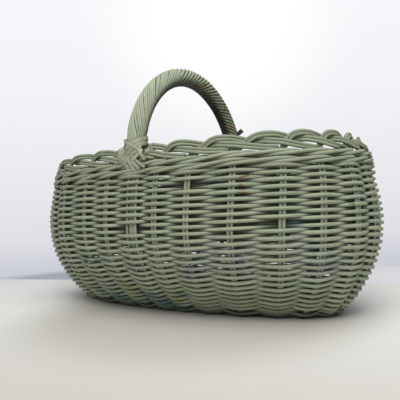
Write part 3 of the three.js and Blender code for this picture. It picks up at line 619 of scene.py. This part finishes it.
def makeStakePair(number):
    upright = stakes[number]
    edge = ovalPoint(*baseHalves(), angleAt(upright["run"]), upright["middle"][0][2])
    foot = edge + (upright["middle"][0] - edge) * 0.12
    stops, outs, spreads = [foot], [np.array((0, 0, -1.0)) + upright["out"][0]], [stake["footSpacing"]]
    for height in stake["heights"] + (wall["waleBottom"], wall["waleTop"] - 2):
        point, out = onWall(upright["run"], height, 0.0)
        stops.append(point + out * stake["proud"] * (stake["proudFrom"] <= height < wall["waleBottom"]))
        outs.append(out)
        grown = min(1, height / stake["fullWidthHeight"])
        spread = stake["footSpacing"] + grown * (stake["pairSpacing"] - stake["footSpacing"])
        if number in bowStakes and height > bow["tailBottom"]:
            spread = bow["tailWidth"] + 2 * stake["rodRadius"]
        spreads.append(spread)
    wobble = rng.normal(0, 0.35, 3)
    onBow = number in bowStakes
    for first, offset, below in stake["border"]:
        leaning = np.interp(first, (0, 0.15, 0.5, 1), (0, 1, 1, 0))
        passed = first + stake["riserShift"].get(number, 0) * leaning
        if onBow:
            passed = max(passed, stake["startBesideBow"] + stake["leanBesideBow"] * first)
        whole = int(passed)
        here, there = stakeRuns[(number + whole) % stakeCount], stakeRuns[(number + whole + 1) % stakeCount]
        run = here + (passed - whole) * ((there - here) % perimeter)
        around = (number + passed) % stakeCount
        lift = np.interp(below, (9, 16), (fromPairs(around, stake["borderLift"]), waleLift(around)))
        lift -= max(0, (wobble[0] if passed < 0.7 else wobble[1]) if passed > 0.1 else 0)
        point, out = onWall(run, wall["rimHeight"] - below + lift, offset)
        stops.append(point)
        outs.append(out)
        spreads.append(stake["borderSpacing"] * (1 if passed < 2.7 else 0.9))
    made = smoothPath(stops, stake["step"], spread=spreads, out=outs)
    points, out = made["points"], made["out"]
    across = unit(np.cross(np.gradient(points, axis=0), out))
    count = len(points)
    tips = np.minimum(1, np.arange(count)[::-1] / 4 + 0.8)
    inWall = np.clip((wall["waleTop"] - points[:, 2]) / stake["paintedLightFade"], 0, 1)
    for bare, row in weave["missing"]:  # no painted light where a broken stroke leaves the pair open to the lamps
        if number == bare:
            share = (row + 0.5) / weave["pitchRows"]
            climb = weave["lowestClimb"] + share * (upright["waleRun"] - weave["lowestClimb"])
            level = np.interp(climb, upright["climbed"], upright["middle"][:, 2])
            near = abs(points[:, 2] - level) < stake["bareReach"]
            inWall = np.where(near, stake["bareTone"], inWall)
    rods = []
    for side in (-1, 1):
        trim = 3 * rng.integers(0, 2) if side > 0 else 0
        line = points + across * (side * made["spread"] / 2)[:, None]
        line = line[:count - trim] if trim else line
        kept = len(line)
        rods.append({"points": line, "radius": (stake["rodRadius"] * tips)[count - kept:],
                     "recess": 0.0, "face": out[:kept],
                     "tone": rng.uniform(-0.8, 0.8) + 0.4 * np.sin(np.arange(kept) / 9 + rng.uniform(0, 6))
                     + stake["paintedLightInWall"] * inWall[:kept]})
    if onBow:  # the left rod ends over the wale, and its border starts beside the right one
        whole = rods[0]
        top = np.argmax(points[:, 2] > wall["waleTop"] - 3)
        rods[0] = {key: row[:top] if np.ndim(row) else row for key, row in whole.items()}
        rods.append({key: row[top + 2:] if np.ndim(row) else row for key, row in whole.items()})
    return rods


pairs = [rod for number in range(stakeCount) for rod in makeStakePair(number)]
piece = sweep("stakesAndBorder", pairs, sageBorder)
handOver(piece, "stakes", *[f"stake_{i + 1:02d}" for i in range(stakeCount)])


# Handle
handle = {
    "halfSpan": 100.4, "rise": 97.4, "shift": 1, "footDrop": 12, "power": 1.964, "strands": 24,
    "radius": 9.8, "strandRadius": 1.2, "from": 0.008, "stations": 230,
    # how much of its room a strand fills
    "fullness": [(0, 1.18), (0.34, 1.14), (0.46, 0.95), (0.6, 0.87), (1, 0.87)],
    "merge": (0.37, 0.46),  # the strands are worn down from 24 to 12 along this part
    "sunk": 2.2,  # how deep the strands that end there lie, in mm
    "endDrawnIn": (2.2, 0.085),  # mm at each end, along this part of the handle
    "drift": 0.07, "knots": 60.0,
    "lay": [(0, 16), (0.12, 22), (0.3, 27), (0.42, 31), (0.5, 38), (0.6, 36), (0.7, 39),
            (0.8, 41), (1, 38)],
    # recess: painted shade over the far half of the handle
    "recess": [(0.5, 0), (0.68, 0.45), (1, 0.55)],
    "shadeAndGrime": [(0.3, 0.85), (0.44, 0.66), (0.58, 0.7), (0.72, 1)], "shadeFacing": (0.1, 0.75),
    "darkWay": [(0, -70), (0.4, -70), (0.5, -90), (0.65, -120), (1, -120)]}  # the side with the painted shade and grime


def handlePoint(share):
    turn = math.pi * np.asarray(share, float)
    cos, sin = np.cos(turn), np.abs(np.sin(turn))
    reach = np.sign(cos) * np.abs(cos) ** (2 / handle["power"])
    z = wall["rimHeight"] - handle["footDrop"] + handle["rise"] * sin ** (2 / handle["power"])
    return np.stack([np.full_like(z, handle["shift"]), -handle["halfSpan"] * reach, z], -1)


def handleFrame(share):
    heading = handlePoint(np.clip(share + 0.004, 0, 1)) - handlePoint(np.clip(share - 0.004, 0, 1))
    heading = unit(heading)
    sideways = unit(np.array((1.0, 0, 0)) - heading * heading[..., :1])
    return handlePoint(share), sideways, np.cross(sideways, heading)


def makeRopingTree():
    tree, asked, sockets = newTree("ropeStrands", (
        ("Line", "Geometry", None), ("Strands", "Int", 24), ("Radius", "Float", 0.0098), ("Sides", "Int", 8),
        ("Unevenness", "Float", 0.1), ("Seed", "Int", 5), ("Finish", "Material", None)), "Strands")
    line = addNode(tree, "GeometryNodeMeshToCurve", {"Mesh": asked["Line"]})
    copies = addNode(tree, "GeometryNodeDuplicateElements", {
        "Geometry": line, "Amount": asked["Strands"]}, domain="SPLINE")
    known = {**asked, "index": copies.outputs["Duplicate Index"]}
    for kind, names in (("FLOAT", ("turned", "merge", "strandRadius", "drawnIn", "recess", "shadeAndGrime")),
                        ("FLOAT_VECTOR", ("sideways", "outward", "darkWay"))):
        for name in names:
            known[name] = addNode(tree, "GeometryNodeInputNamedAttribute", {"Name": name}, data_type=kind)
    for name, reach in (("drift", handle["drift"]), ("tone", 1.0)):  # one value for each strand
        known[name] = addNode(tree, "FunctionNodeRandomValue", {
            2: -reach, 3: reach, "ID": known["index"], "Seed": asked["Seed"]}, data_type="FLOAT").outputs[1]
    # the odd strands lie under the even ones where the handle is worn down to a dozen
    for name, operation, *values in (
            ("odd", "MODULO", "index", 2.0), ("even", "SUBTRACT", "index", "odd"),
            ("hidden", "MULTIPLY", "odd", "merge"), ("apart", "SUBTRACT", 1.0, "merge"),
            ("ownSeat", "MULTIPLY", "odd", "apart"), ("seat", "ADD", "even", "ownSeat"),
            ("seatTurn", "DIVIDE", 2 * math.pi, "Strands"), ("seatAngle", "MULTIPLY", "seat", "seatTurn"),
            ("woundAngle", "ADD", "seatAngle", "turned"), ("angle", "ADD", "woundAngle", "drift"),
            ("reach", "SUBTRACT", "Radius", "strandRadius"),
            ("dip", "MULTIPLY", "hidden", handle["sunk"] * mm),
            ("lowered", "SUBTRACT", "reach", "dip"), ("lay", "SUBTRACT", "lowered", "drawnIn"),
            ("cosine", "COSINE", "angle"), ("across", "MULTIPLY", "cosine", "lay"),
            ("sine", "SINE", "angle"), ("outside", "MULTIPLY", "sine", "lay")):
        values = [known[value] if isinstance(value, str) else value for value in values]
        known[name] = addNode(tree, "ShaderNodeMath", values, operation=operation)
    parts = [addNode(tree, "ShaderNodeVectorMath", {0: known[way], "Scale": known[size]}, operation="SCALE")
             for way, size in (("sideways", "across"), ("outward", "outside"))]
    shift = addNode(tree, "ShaderNodeVectorMath", parts, operation="ADD")
    strands = addNode(tree, "GeometryNodeSetPosition", {"Geometry": copies, "Offset": shift})
    # painted shade with some grime, on the side of the roping that darkWay points to
    radial = addNode(tree, "ShaderNodeVectorMath", (shift,), operation="NORMALIZE")
    toDark = addNode(tree, "ShaderNodeVectorMath", (radial, known["darkWay"]), operation="DOT_PRODUCT")
    dark = addNode(tree, "ShaderNodeMapRange", (toDark.outputs["Value"], *handle["shadeFacing"]))
    shadeAndGrime = addNode(tree, "ShaderNodeMath", (dark, known["shadeAndGrime"]), operation="MULTIPLY")
    shadeAndDirt = addNode(tree, "ShaderNodeMath", (known["recess"], shadeAndGrime), operation="MAXIMUM")
    for name, value, kind in (("face", radial, "FLOAT_VECTOR"), ("tone", known["tone"], "FLOAT"),
                              ("recess", shadeAndDirt, "FLOAT")):
        strands = addNode(tree, "GeometryNodeStoreNamedAttribute", {
            "Geometry": strands, "Name": name, "Value": value}, data_type=kind, domain="POINT")
    where = addNode(tree, "GeometryNodeInputPosition")
    lumps = addNode(tree, "ShaderNodeTexNoise", {"Vector": where, "Scale": handle["knots"], "Detail": 1.0})
    sweepAndPaint(tree, asked, strands, lumps, known["strandRadius"])
    return tree, sockets


def makeRoping():
    share = np.linspace(handle["from"], 1 - handle["from"], handle["stations"])
    centre, sideways, outward = handleFrame(share)
    angles = np.radians(fromPairs(share, handle["lay"]))
    slope = np.tan(angles) / (handle["radius"] - handle["strandRadius"])
    turned = np.concatenate([[0], np.cumsum((slope[1:] + slope[:-1]) / 2 * np.diff(distances(centre)))])
    merge = eased(np.interp(share, handle["merge"], (0, 1)))
    spacing = 2 * math.pi * (handle["radius"] - handle["strandRadius"]) * np.cos(angles)
    radius = fromPairs(share, handle["fullness"]) * spacing / (handle["strands"] * (2 - merge))
    ends = np.minimum(share - handle["from"], 1 - handle["from"] - share)
    depth, reach = handle["endDrawnIn"]
    values = {"turned": turned, "merge": merge, "strandRadius": radius * mm,
              "drawnIn": depth * np.clip(1 - ends / reach, 0, 1) * mm,
              "recess": fromPairs(share, handle["recess"]), "shadeAndGrime": fromPairs(share, handle["shadeAndGrime"])}
    rod = {"points": centre, "face": outward}
    holder = makeLines("handleRoping", [rod], ())
    for name, row in values.items():
        give(holder.data, name, row)
    way = np.radians(fromPairs(share, handle["darkWay"]))[:, None]
    darkWay = sideways * np.cos(way) + outward * np.sin(way)
    for name, rows in (("sideways", sideways), ("outward", outward), ("darkWay", darkWay)):
        give(holder.data, name, rows, "FLOAT_VECTOR")
    tree, sockets = makeRopingTree()
    return plainMesh(holder, tree, sockets, {
        "Strands": handle["strands"], "Radius": handle["radius"] * mm, "Sides": 8, "Unevenness": 0.12,
        "Seed": 5, "Finish": sageHandle})


handOver(makeRoping(), "handle", "roping_1", "roping_2", "roping_3", "roping_4")

# A strand that has sprung out of the far leg, cut short
sprung = {"stops": [(3, 91, 196.6), (7.6, 91, 199.6), (12, 91.5, 202.4), (16.8, 92, 205.6)], "radius": 3.0}
made = smoothPath(sprung["stops"], 1.5)
# its recess gives it the far leg's painted shade
made.update({"radius": sprung["radius"], "recess": 0.8, "tone": -0.4, "face": np.array((0, 0, 1.0))})
piece = sweep("ropingSprungEnd", [made], sageHandle)
handOver(piece, "handle")


edgeShade = np.array((1, 0.85, 0.1, 0, 0.1, 0.85, 1, 0.85, 0.1, 0, 0.1, 0.85))  # round a ring of 12 points


def loftMesh(name, strips, material, shades=None):  # each strip is rings of points in mm
    vertices, faces = [], []
    for rings in strips:
        start, sides = len(vertices), len(rings[0])
        vertices += [tuple(point * mm) for ring in rings for point in ring]
        for r in range(len(rings) - 1):
            for s in range(sides):
                a, b = start + r * sides + s, start + r * sides + (s + 1) % sides
                faces.append((a, b, b + sides, a + sides))
        faces.append(tuple(range(start + sides - 1, start - 1, -1)))
        last = start + (len(rings) - 1) * sides
        faces.append(tuple(range(last, last + sides)))
    mesh = bpy.data.meshes.new(name)
    mesh.from_pydata(vertices, [], faces)
    mesh.polygons.foreach_set("use_smooth", [True] * len(mesh.polygons))
    mesh.materials.append(material)
    side = np.zeros(len(vertices)) if shades is None else np.concatenate(shades)
    give(mesh, "side", side)
    piece = placeObject(name, mesh)
    markPiece(piece)
    return piece


def flatRing(centre, across, out, width, thickness, sides=12, squareness=3.0):
    turn = 2 * math.pi * np.arange(sides) / sides
    power = 2 / squareness
    a = width / 2 * np.sign(np.cos(turn)) * np.abs(np.cos(turn)) ** power
    b = thickness / 2 * np.sign(np.sin(turn)) * np.abs(np.sin(turn)) ** power
    return centre + a[:, None] * across + b[:, None] * out


def makeBow():
    rings = []
    heights = np.linspace(bow["tailBottom"], wall["rimHeight"] - 14, 26)
    for index, number in enumerate(bowStakes):
        points, outs = onWall(stakeRuns[number], heights, 0.0)
        across = unit(np.cross((0, 0, 1.0), outs))
        widths = bow["tailWidth"] * np.minimum(1, 0.4 + np.arange(len(heights)) / 4)
        tail = [flatRing(points[i], across[i], outs[i], widths[i], bow["tailThickness"], squareness=2.4)
                for i in range(len(heights))]
        if index == 0:
            rings += tail
            share = np.linspace(bow["neck"], 1 - bow["neck"], 60)
            centre, sideways, out = handleFrame(share)
            size = bow["radius"] * 2 * np.minimum(1, 0.5 + 12 * np.minimum(share, 1 - share))
            rings += [flatRing(centre[i], sideways[i], out[i], size[i], size[i], squareness=2)
                      for i in range(len(share))]
        else:
            rings += [ring[(6 - np.arange(12)) % 12] for ring in tail[::-1]]
    return loftMesh("handleBow", [rings], sageStakes)


handOver(makeBow(), "handle", "handle_bow")


# Lashings: flat skeins of split cane that wrap the foot of the handle and cross over the border.
# A skein's turns round the handle are in degrees from its right side and height, its way over the
# border in mm from the handle's middle and height.
lashing = {
    "thickness": 1.0, "tubeRadius": 9.6, "wallGap": 0.8, "footFrom": 148, "footTo": 168,
    "layerGap": 0.5, "sink": 2.4, "step": 1.3, "insideShade": 0.76, "width": 4.6,
    "skeins": [
        {"way": [(-14, 161), (-11.5, 157.5), (-8, 152), (-5, 145)]},
        {"layer": 0.6, "way": [(-10, 161), (-6, 156.8), (-2, 151), (2, 144.5)]},
        {"width": 4.4, "way": [(-5, 160), (-1.5, 155.5), (3, 150.5), (8, 144.8)]},
        {"layer": 0.8, "width": 2.6, "way": [(0, 158.5), (4.5, 154.3), (10, 149.5), (15, 146)]},
        {"width": 6.5, "way": [(-4, 171.5), (-8.5, 168), (-12.5, 163), (-14.4, 156)]},
        {"layer": 0.3, "width": 6, "turns": [(215, 172.4), (175, 171.8), (145, 170)],
         "way": [(-11, 166.4), (-14.2, 163), (-15, 158), (-13.6, 151)]},
        {"layer": 1.6, "turns": [(-90, 175.4), (-40, 174.8), (0, 174), (42, 171.6), (68, 169)],
         "way": [(-1.8, 165.6), (-7, 162.2), (-12, 157.5), (-14.5, 151.5)]},
        {"layer": 1.3, "width": 4.8, "turns": [(-90, 171), (-40, 170.6), (-10, 169.8), (30, 168)],
         "way": [(4.2, 165.4), (-1.4, 162), (-6.4, 158.8), (-10.6, 154.6), (-12.6, 150)]},
        {"layer": 1.1,
         "way": [(10.5, 166), (6.5, 162.6), (2, 160.2), (-2.4, 157), (-7, 152.8), (-10, 148.5)]},
        {"layer": 0.9, "way": [(13, 162.4), (7.2, 157.9), (1.6, 153.6), (-3, 149)]},
        {"layer": 1.9, "turns": [(250, 174.6), (200, 173.6), (140, 172), (100, 170), (70, 167.2)],
         "way": [(8.6, 162.8), (12.6, 157.4), (15.6, 153)]},
        {"width": 2.8,  # the end of a rod that shows beside the foot
         "inside": [(9.6, 157, -1), (12.2, 160.3, -0.4), (15.2, 163, -0.4),
                    (18, 165.7, -0.6), (20, 167.2, -1.6)]},
        {"width": 6, "shaded": True, "inside": [(2, 171, -8), (9, 167, -8.6), (16, 161, -8), (22, 154, -7)]},
        {"width": 4.5, "shaded": True,
         "inside": [(3, 168, -4), (9, 164.5, -4), (14, 160, -3.6), (17, 155, -3)]},
        {"width": 6, "shaded": True, "inside": [(-2, 166, -8), (6, 161, -8), (12, 155, -7), (16, 150, -6)]},
        {"width": 6, "inside": [(2, 171, -8), (-7, 166, -8.4), (-13, 159, -8), (-17, 152, -7)]},
    ]}


def leanOfHandle(height):  # how far its centre line has come in from the foot
    over = max(0.0, height - wall["rimHeight"] + handle["footDrop"]) / handle["rise"]
    return handle["halfSpan"] * (1 - (1 - min(1, over) ** handle["power"]) ** (1 / handle["power"]))


def overBorder(across, height):  # how far outside the handle's foot the skeins lie
    border = max(0.1, wallHalves(min(height, wall["rimHeight"]))[1] - handle["halfSpan"] + lashing["wallGap"]
                 - max(0, height - wall["rimHeight"] + 3))
    share = np.interp(height, (lashing["footFrom"], lashing["footTo"]), (0, 1))
    tube = math.sqrt(max(0, lashing["tubeRadius"] ** 2 - across ** 2))
    return (border ** 4 + (tube * eased(share)) ** 4) ** 0.25 - leanOfHandle(height)


def makeLashing(far):
    sign = -1 if far else 1
    foot = handlePoint(1.0 if far else 0.0)
    sideways, out, up = np.array((sign, 0.0, 0.0)), np.array((0.0, -sign, 0.0)), np.array((0.0, 0.0, 1.0))

    def placed(across, height, outside):
        return np.array((foot[0], foot[1], 0)) + sideways * across + out * outside + up * height

    strips, shades = [], []
    for skein in lashing["skeins"]:
        width = skein.get("width", lashing["width"])
        stops, faces = [], []
        lift = skein.get("layer", 0) * lashing["layerGap"] + lashing["thickness"] / 2
        for degrees, height in skein.get("turns", ()):
            turn = math.radians(degrees)
            reach = lashing["tubeRadius"] + lift
            outside = reach * math.sin(turn) - leanOfHandle(height)
            stops.append(placed(reach * math.cos(turn), height, outside))
            faces.append(sideways * math.cos(turn) + out * math.sin(turn))
        for across, height, outside in skein.get("inside", ()):  # where it comes back inside the border
            stops.append(placed(across, height, outside))
            faces.append(-out)
        for place, (across, height) in enumerate(skein.get("way", ())):
            here = overBorder(across, height)
            slopeAcross = overBorder(across + 1, height) - overBorder(across - 1, height)
            slopeUp = overBorder(across, height + 1) - overBorder(across, height - 1)
            face = unit(out - sideways * slopeAcross / 2 - up * slopeUp / 2)
            ends = place == len(skein["way"]) - 1
            stops.append(placed(across, height, here) + face * (lift - lashing["sink"] * ends))
            faces.append(face)
        made = smoothPath(stops, lashing["step"], face=faces)
        line, facing = made["points"], made["face"]
        heading = np.gradient(line, axis=0)
        across = unit(np.cross(heading, facing))
        facing = unit(np.cross(across, heading))
        strips.append([flatRing(line[i], across[i], facing[i], width, lashing["thickness"])
                       for i in range(len(line))])
        inside = np.full(len(edgeShade), lashing["insideShade"])
        shades.append(np.tile(inside if skein.get("shaded") else edgeShade, len(line)))
    return loftMesh("lashingFar" if far else "lashingNear", strips, sageLashing, shades)


handOver(makeLashing(False), "lashings", "lashing_near")
handOver(makeLashing(True), "lashings", "lashing_far")


# Base: cross sticks pierced by long sticks, with rods woven round them
base = {"thickness": 9, "crossCount": 7, "crossFromEnd": 50, "crossWidth": 8, "crossThickness": 4.2,
        "longCount": 3, "longWidth": 5, "longThickness": 2.8, "rodRadius": 1.25, "pitch": 2.45, "rings": 14}


def makeStick(centres, across, width, thickness):
    return [flatRing(np.array(centre), np.array(across), np.array((0, 0, 1.0)), width, thickness)
            for centre in centres]


def makeBaseSticks():
    halfLength, halfWidth = baseHalves()
    middle = base["thickness"] / 2
    strips = []
    for i in range(base["crossCount"]):
        x = (2 * i / (base["crossCount"] - 1) - 1) * (halfLength - base["crossFromEnd"])
        reach = halfWidth * (1 - (abs(x) / halfLength) ** wall["ovalPower"]) ** (1 / wall["ovalPower"]) - 2
        centres = [(x, y, middle) for y in np.linspace(-reach, reach, 12)]
        strips.append(makeStick(centres, (1.0, 0, 0), base["crossWidth"], base["crossThickness"]))
    for i in range(base["longCount"]):
        y = (i - (base["longCount"] - 1) / 2) * (base["longWidth"] + 0.3)
        centres = [(x, y, middle) for x in np.linspace(3 - halfLength, halfLength - 3, 24)]
        strips.append(makeStick(centres, (0, 1.0, 0), base["longWidth"], base["longThickness"]))
    return loftMesh("baseSticks", strips, sageBase)


def makeBaseWeave():
    halfLength, halfWidth = baseHalves()
    middle = base["thickness"] / 2
    rods = []
    for ring in range(base["rings"]):
        inset = base["rodRadius"] + ring * base["pitch"]
        a, b = halfLength - inset, halfWidth - inset
        sticks = np.linspace(-1, 1, base["crossCount"]) * (halfLength - base["crossFromEnd"])
        angles = [0.0]
        for x in sticks[::-1]:
            angles.append(math.acos(min(1, abs(x / a)) ** (wall["ovalPower"] / 2) * (1 if x >= 0 else -1)))
        angles += [math.pi] + [2 * math.pi - angle for angle in angles[:0:-1]]
        stops, sides = [], []
        for place, angle in enumerate(angles + angles[:1]):
            side = 1 if (place + ring) % 2 == 0 else -1
            rise = base["crossThickness"] / 2 + base["rodRadius"] - 0.1
            stops.append(ovalPoint(a, b, angle, middle + side * rise))
            if place < len(angles):
                after = (angles + [2 * math.pi])[place + 1]
                for part in (0.33, 0.67):
                    z = middle + side * rise * (1 - 2 * part) * 0.8
                    stops.append(ovalPoint(a, b, angle + (after - angle) * part, z))
        made = smoothPath(stops, 5)
        made.update({"radius": base["rodRadius"], "recess": 0.3, "face": np.array((0, 0, 1.0)),
                     "tone": rng.uniform(-1, 1)})
        rods.append(made)
    return sweep("baseWeave", rods, sageBase)


handOver(makeBaseSticks(), "base", *[f"base_stick_cross_{i + 1}" for i in range(base["crossCount"])],
         *[f"base_stick_long_{i + 1}" for i in range(base["longCount"])])
handOver(makeBaseWeave(), "base", "base_weave")

# Floor, world and lights
room = {
    "table": "#c5c0b9", "tableFar": "#eae8e4", "farOver": (-300, -60),  # mm towards the far edge; the floor is painted darker towards the front: painted shade
    # a painted shadow round a point just before the basket
    "dull": "#bfbbb3", "shadowAt": (30, -60, 0), "shadowOver": (105, 200),
    "edgeTurn": 15.9, "edgeAt": 163, "edgeSoftness": 4,
    # past the edge the floor is painted darker on the left and paler on the right: painted shade and light
    "behind": "#b2b5be", "behindRight": "#ebebee", "rightWay": (0.84, 0.54, 0), "rightOver": (-113, 127),
    "floorReach": 460, "fade": 60, "worldStrength": 0.36,
    "sky": [(-0.16, "#c0c2ca"), (-0.1, "#cccfd7"), (-0.045, "#dfe0e5"), (0.03, "#e5e7eb"),
            (0.11, "#ebecf0"), (0.19, "#f0f1f4"), (0.4, "#f6f7fa")],  # height of the line of sight, colour
    "glow": (-0.456, 0.802, 0.387), "glowReach": (0.3, 0.1)}


def addFloorShader(tree):
    place = addNode(tree, "ShaderNodeTexCoord").outputs["Object"]
    turn = math.radians(room["edgeTurn"])
    across = (-math.sin(turn), math.cos(turn), 0)
    shares = []
    for operation, way, (low, high), shape in (  # how far the place lies along a way or from a point, in mm
            ("DOT_PRODUCT", across, room["farOver"], "LINEAR"),
            ("DISTANCE", [part * mm for part in room["shadowAt"]], room["shadowOver"], "SMOOTHSTEP"),
            ("DOT_PRODUCT", room["rightWay"], room["rightOver"], "LINEAR"),
            ("DOT_PRODUCT", across,
             (room["edgeAt"] - room["edgeSoftness"], room["edgeAt"] + room["edgeSoftness"]), "LINEAR"),
            ("DISTANCE", (0, 0, 0), (room["floorReach"] - room["fade"], room["floorReach"]), "LINEAR")):
        far = addNode(tree, "ShaderNodeVectorMath", (place, way), operation=operation).outputs["Value"]
        shares.append(addNode(tree, "ShaderNodeMapRange", (far, low * mm, high * mm),
                              interpolation_type=shape))
    tints = {key: colour(room[key]) for key in ("table", "tableFar", "dull", "behind", "behindRight")}
    # tints: painted shade towards the front, a painted shadow before the basket, painted light to the right
    # past the edge
    for name, share, a, b in zip(("top", "top", "behind", "shown"), shares,
                                 ("table", "dull", "behind", "top"),
                                 ("tableFar", "top", "behindRight", "behind")):
        tints[name] = addNode(tree, "ShaderNodeMix", {0: share, 6: tints[a], 7: tints[b]},
                              data_type="RGBA").outputs[2]
    shader = addNode(tree, "ShaderNodeBsdfPrincipled", {"Base Color": tints["shown"], "Roughness": 0.6})
    clear = addNode(tree, "ShaderNodeBsdfTransparent")
    mixed = addNode(tree, "ShaderNodeMixShader", (shares[-1], shader, clear))
    addNode(tree, "ShaderNodeOutputMaterial", {"Surface": mixed})


def makeFloor():
    mesh = bpy.data.meshes.new("floor")
    reach = 2 * room["floorReach"] * mm
    corners = [(-reach, -reach, 0), (reach, -reach, 0), (reach, reach, 0), (-reach, reach, 0)]
    mesh.from_pydata(corners, [], [(0, 1, 2, 3)])
    floor = placeObject("floor", mesh)
    # Pale matt laminate: a smooth table top, paler and cooler past its edge, with painted shade towards the
    # front and a painted shadow before the basket
    material = bpy.data.materials.new("pale matt laminate")
    addFloorShader(emptyTree(material))
    mesh.materials.append(material)


def makeWorld():
    world = bpy.data.worlds.new("studio")
    scene.world = world
    tree = emptyTree(world)
    way = addNode(tree, "ShaderNodeTexCoord").outputs["Generated"]
    height = addNode(tree, "ShaderNodeSeparateXYZ", (way,)).outputs["Z"]
    low, high = room["sky"][0][0], room["sky"][-1][0]
    risen = addNode(tree, "ShaderNodeMapRange", (height, low, high))
    sky = addNode(tree, "ShaderNodeValToRGB", (risen,))
    stops = sky.color_ramp.elements
    stops[0].color, stops[1].color = colour(room["sky"][0][1]), colour(room["sky"][-1][1])
    for level, shade in room["sky"][1:-1]:
        stops.new((level - low) / (high - low)).color = colour(shade)
    toGlow = addNode(tree, "ShaderNodeVectorMath", (way, room["glow"]), operation="DISTANCE").outputs["Value"]
    glow = addNode(tree, "ShaderNodeMapRange", (toGlow, *room["glowReach"]), interpolation_type="SMOOTHSTEP")
    shown = addNode(tree, "ShaderNodeMix", {0: glow, 6: sky, 7: (1, 1, 1, 1)}, data_type="RGBA").outputs[2]
    seen = addNode(tree, "ShaderNodeBackground", {"Color": shown, "Strength": 1.0})
    lit = addNode(tree, "ShaderNodeBackground", {
        "Color": (0.93, 0.97, 1.0, 1), "Strength": room["worldStrength"]})
    path = addNode(tree, "ShaderNodeLightPath").outputs["Is Camera Ray"]
    mixed = addNode(tree, "ShaderNodeMixShader", (path, lit, seen))
    addNode(tree, "ShaderNodeOutputWorld", {"Surface": mixed})


# Places and sizes of the lamps are in metres
lamps = {"key": {"place": (0.45, -0.85, 0.95), "size": 0.75, "watts": 8.8},
         "top": {"place": (0.2, -0.25, 1.2), "size": 1.1, "watts": 8}}
lampsAim = Vector((0, 0, 0.08))


def makeLamps():
    for name, lamp in lamps.items():
        light = bpy.data.lights.new(name, "AREA")
        light.energy, light.size = lamp["watts"], lamp["size"]
        holder = placeObject(name, light)
        holder.location = lamp["place"]
        holder.rotation_mode = "QUATERNION"
        holder.rotation_quaternion = (Vector(lamp["place"]) - lampsAim).to_track_quat("Z", "Y")


makeFloor()
makeWorld()
makeLamps()
scene.view_settings.view_transform = "Standard"
print("stage lit")
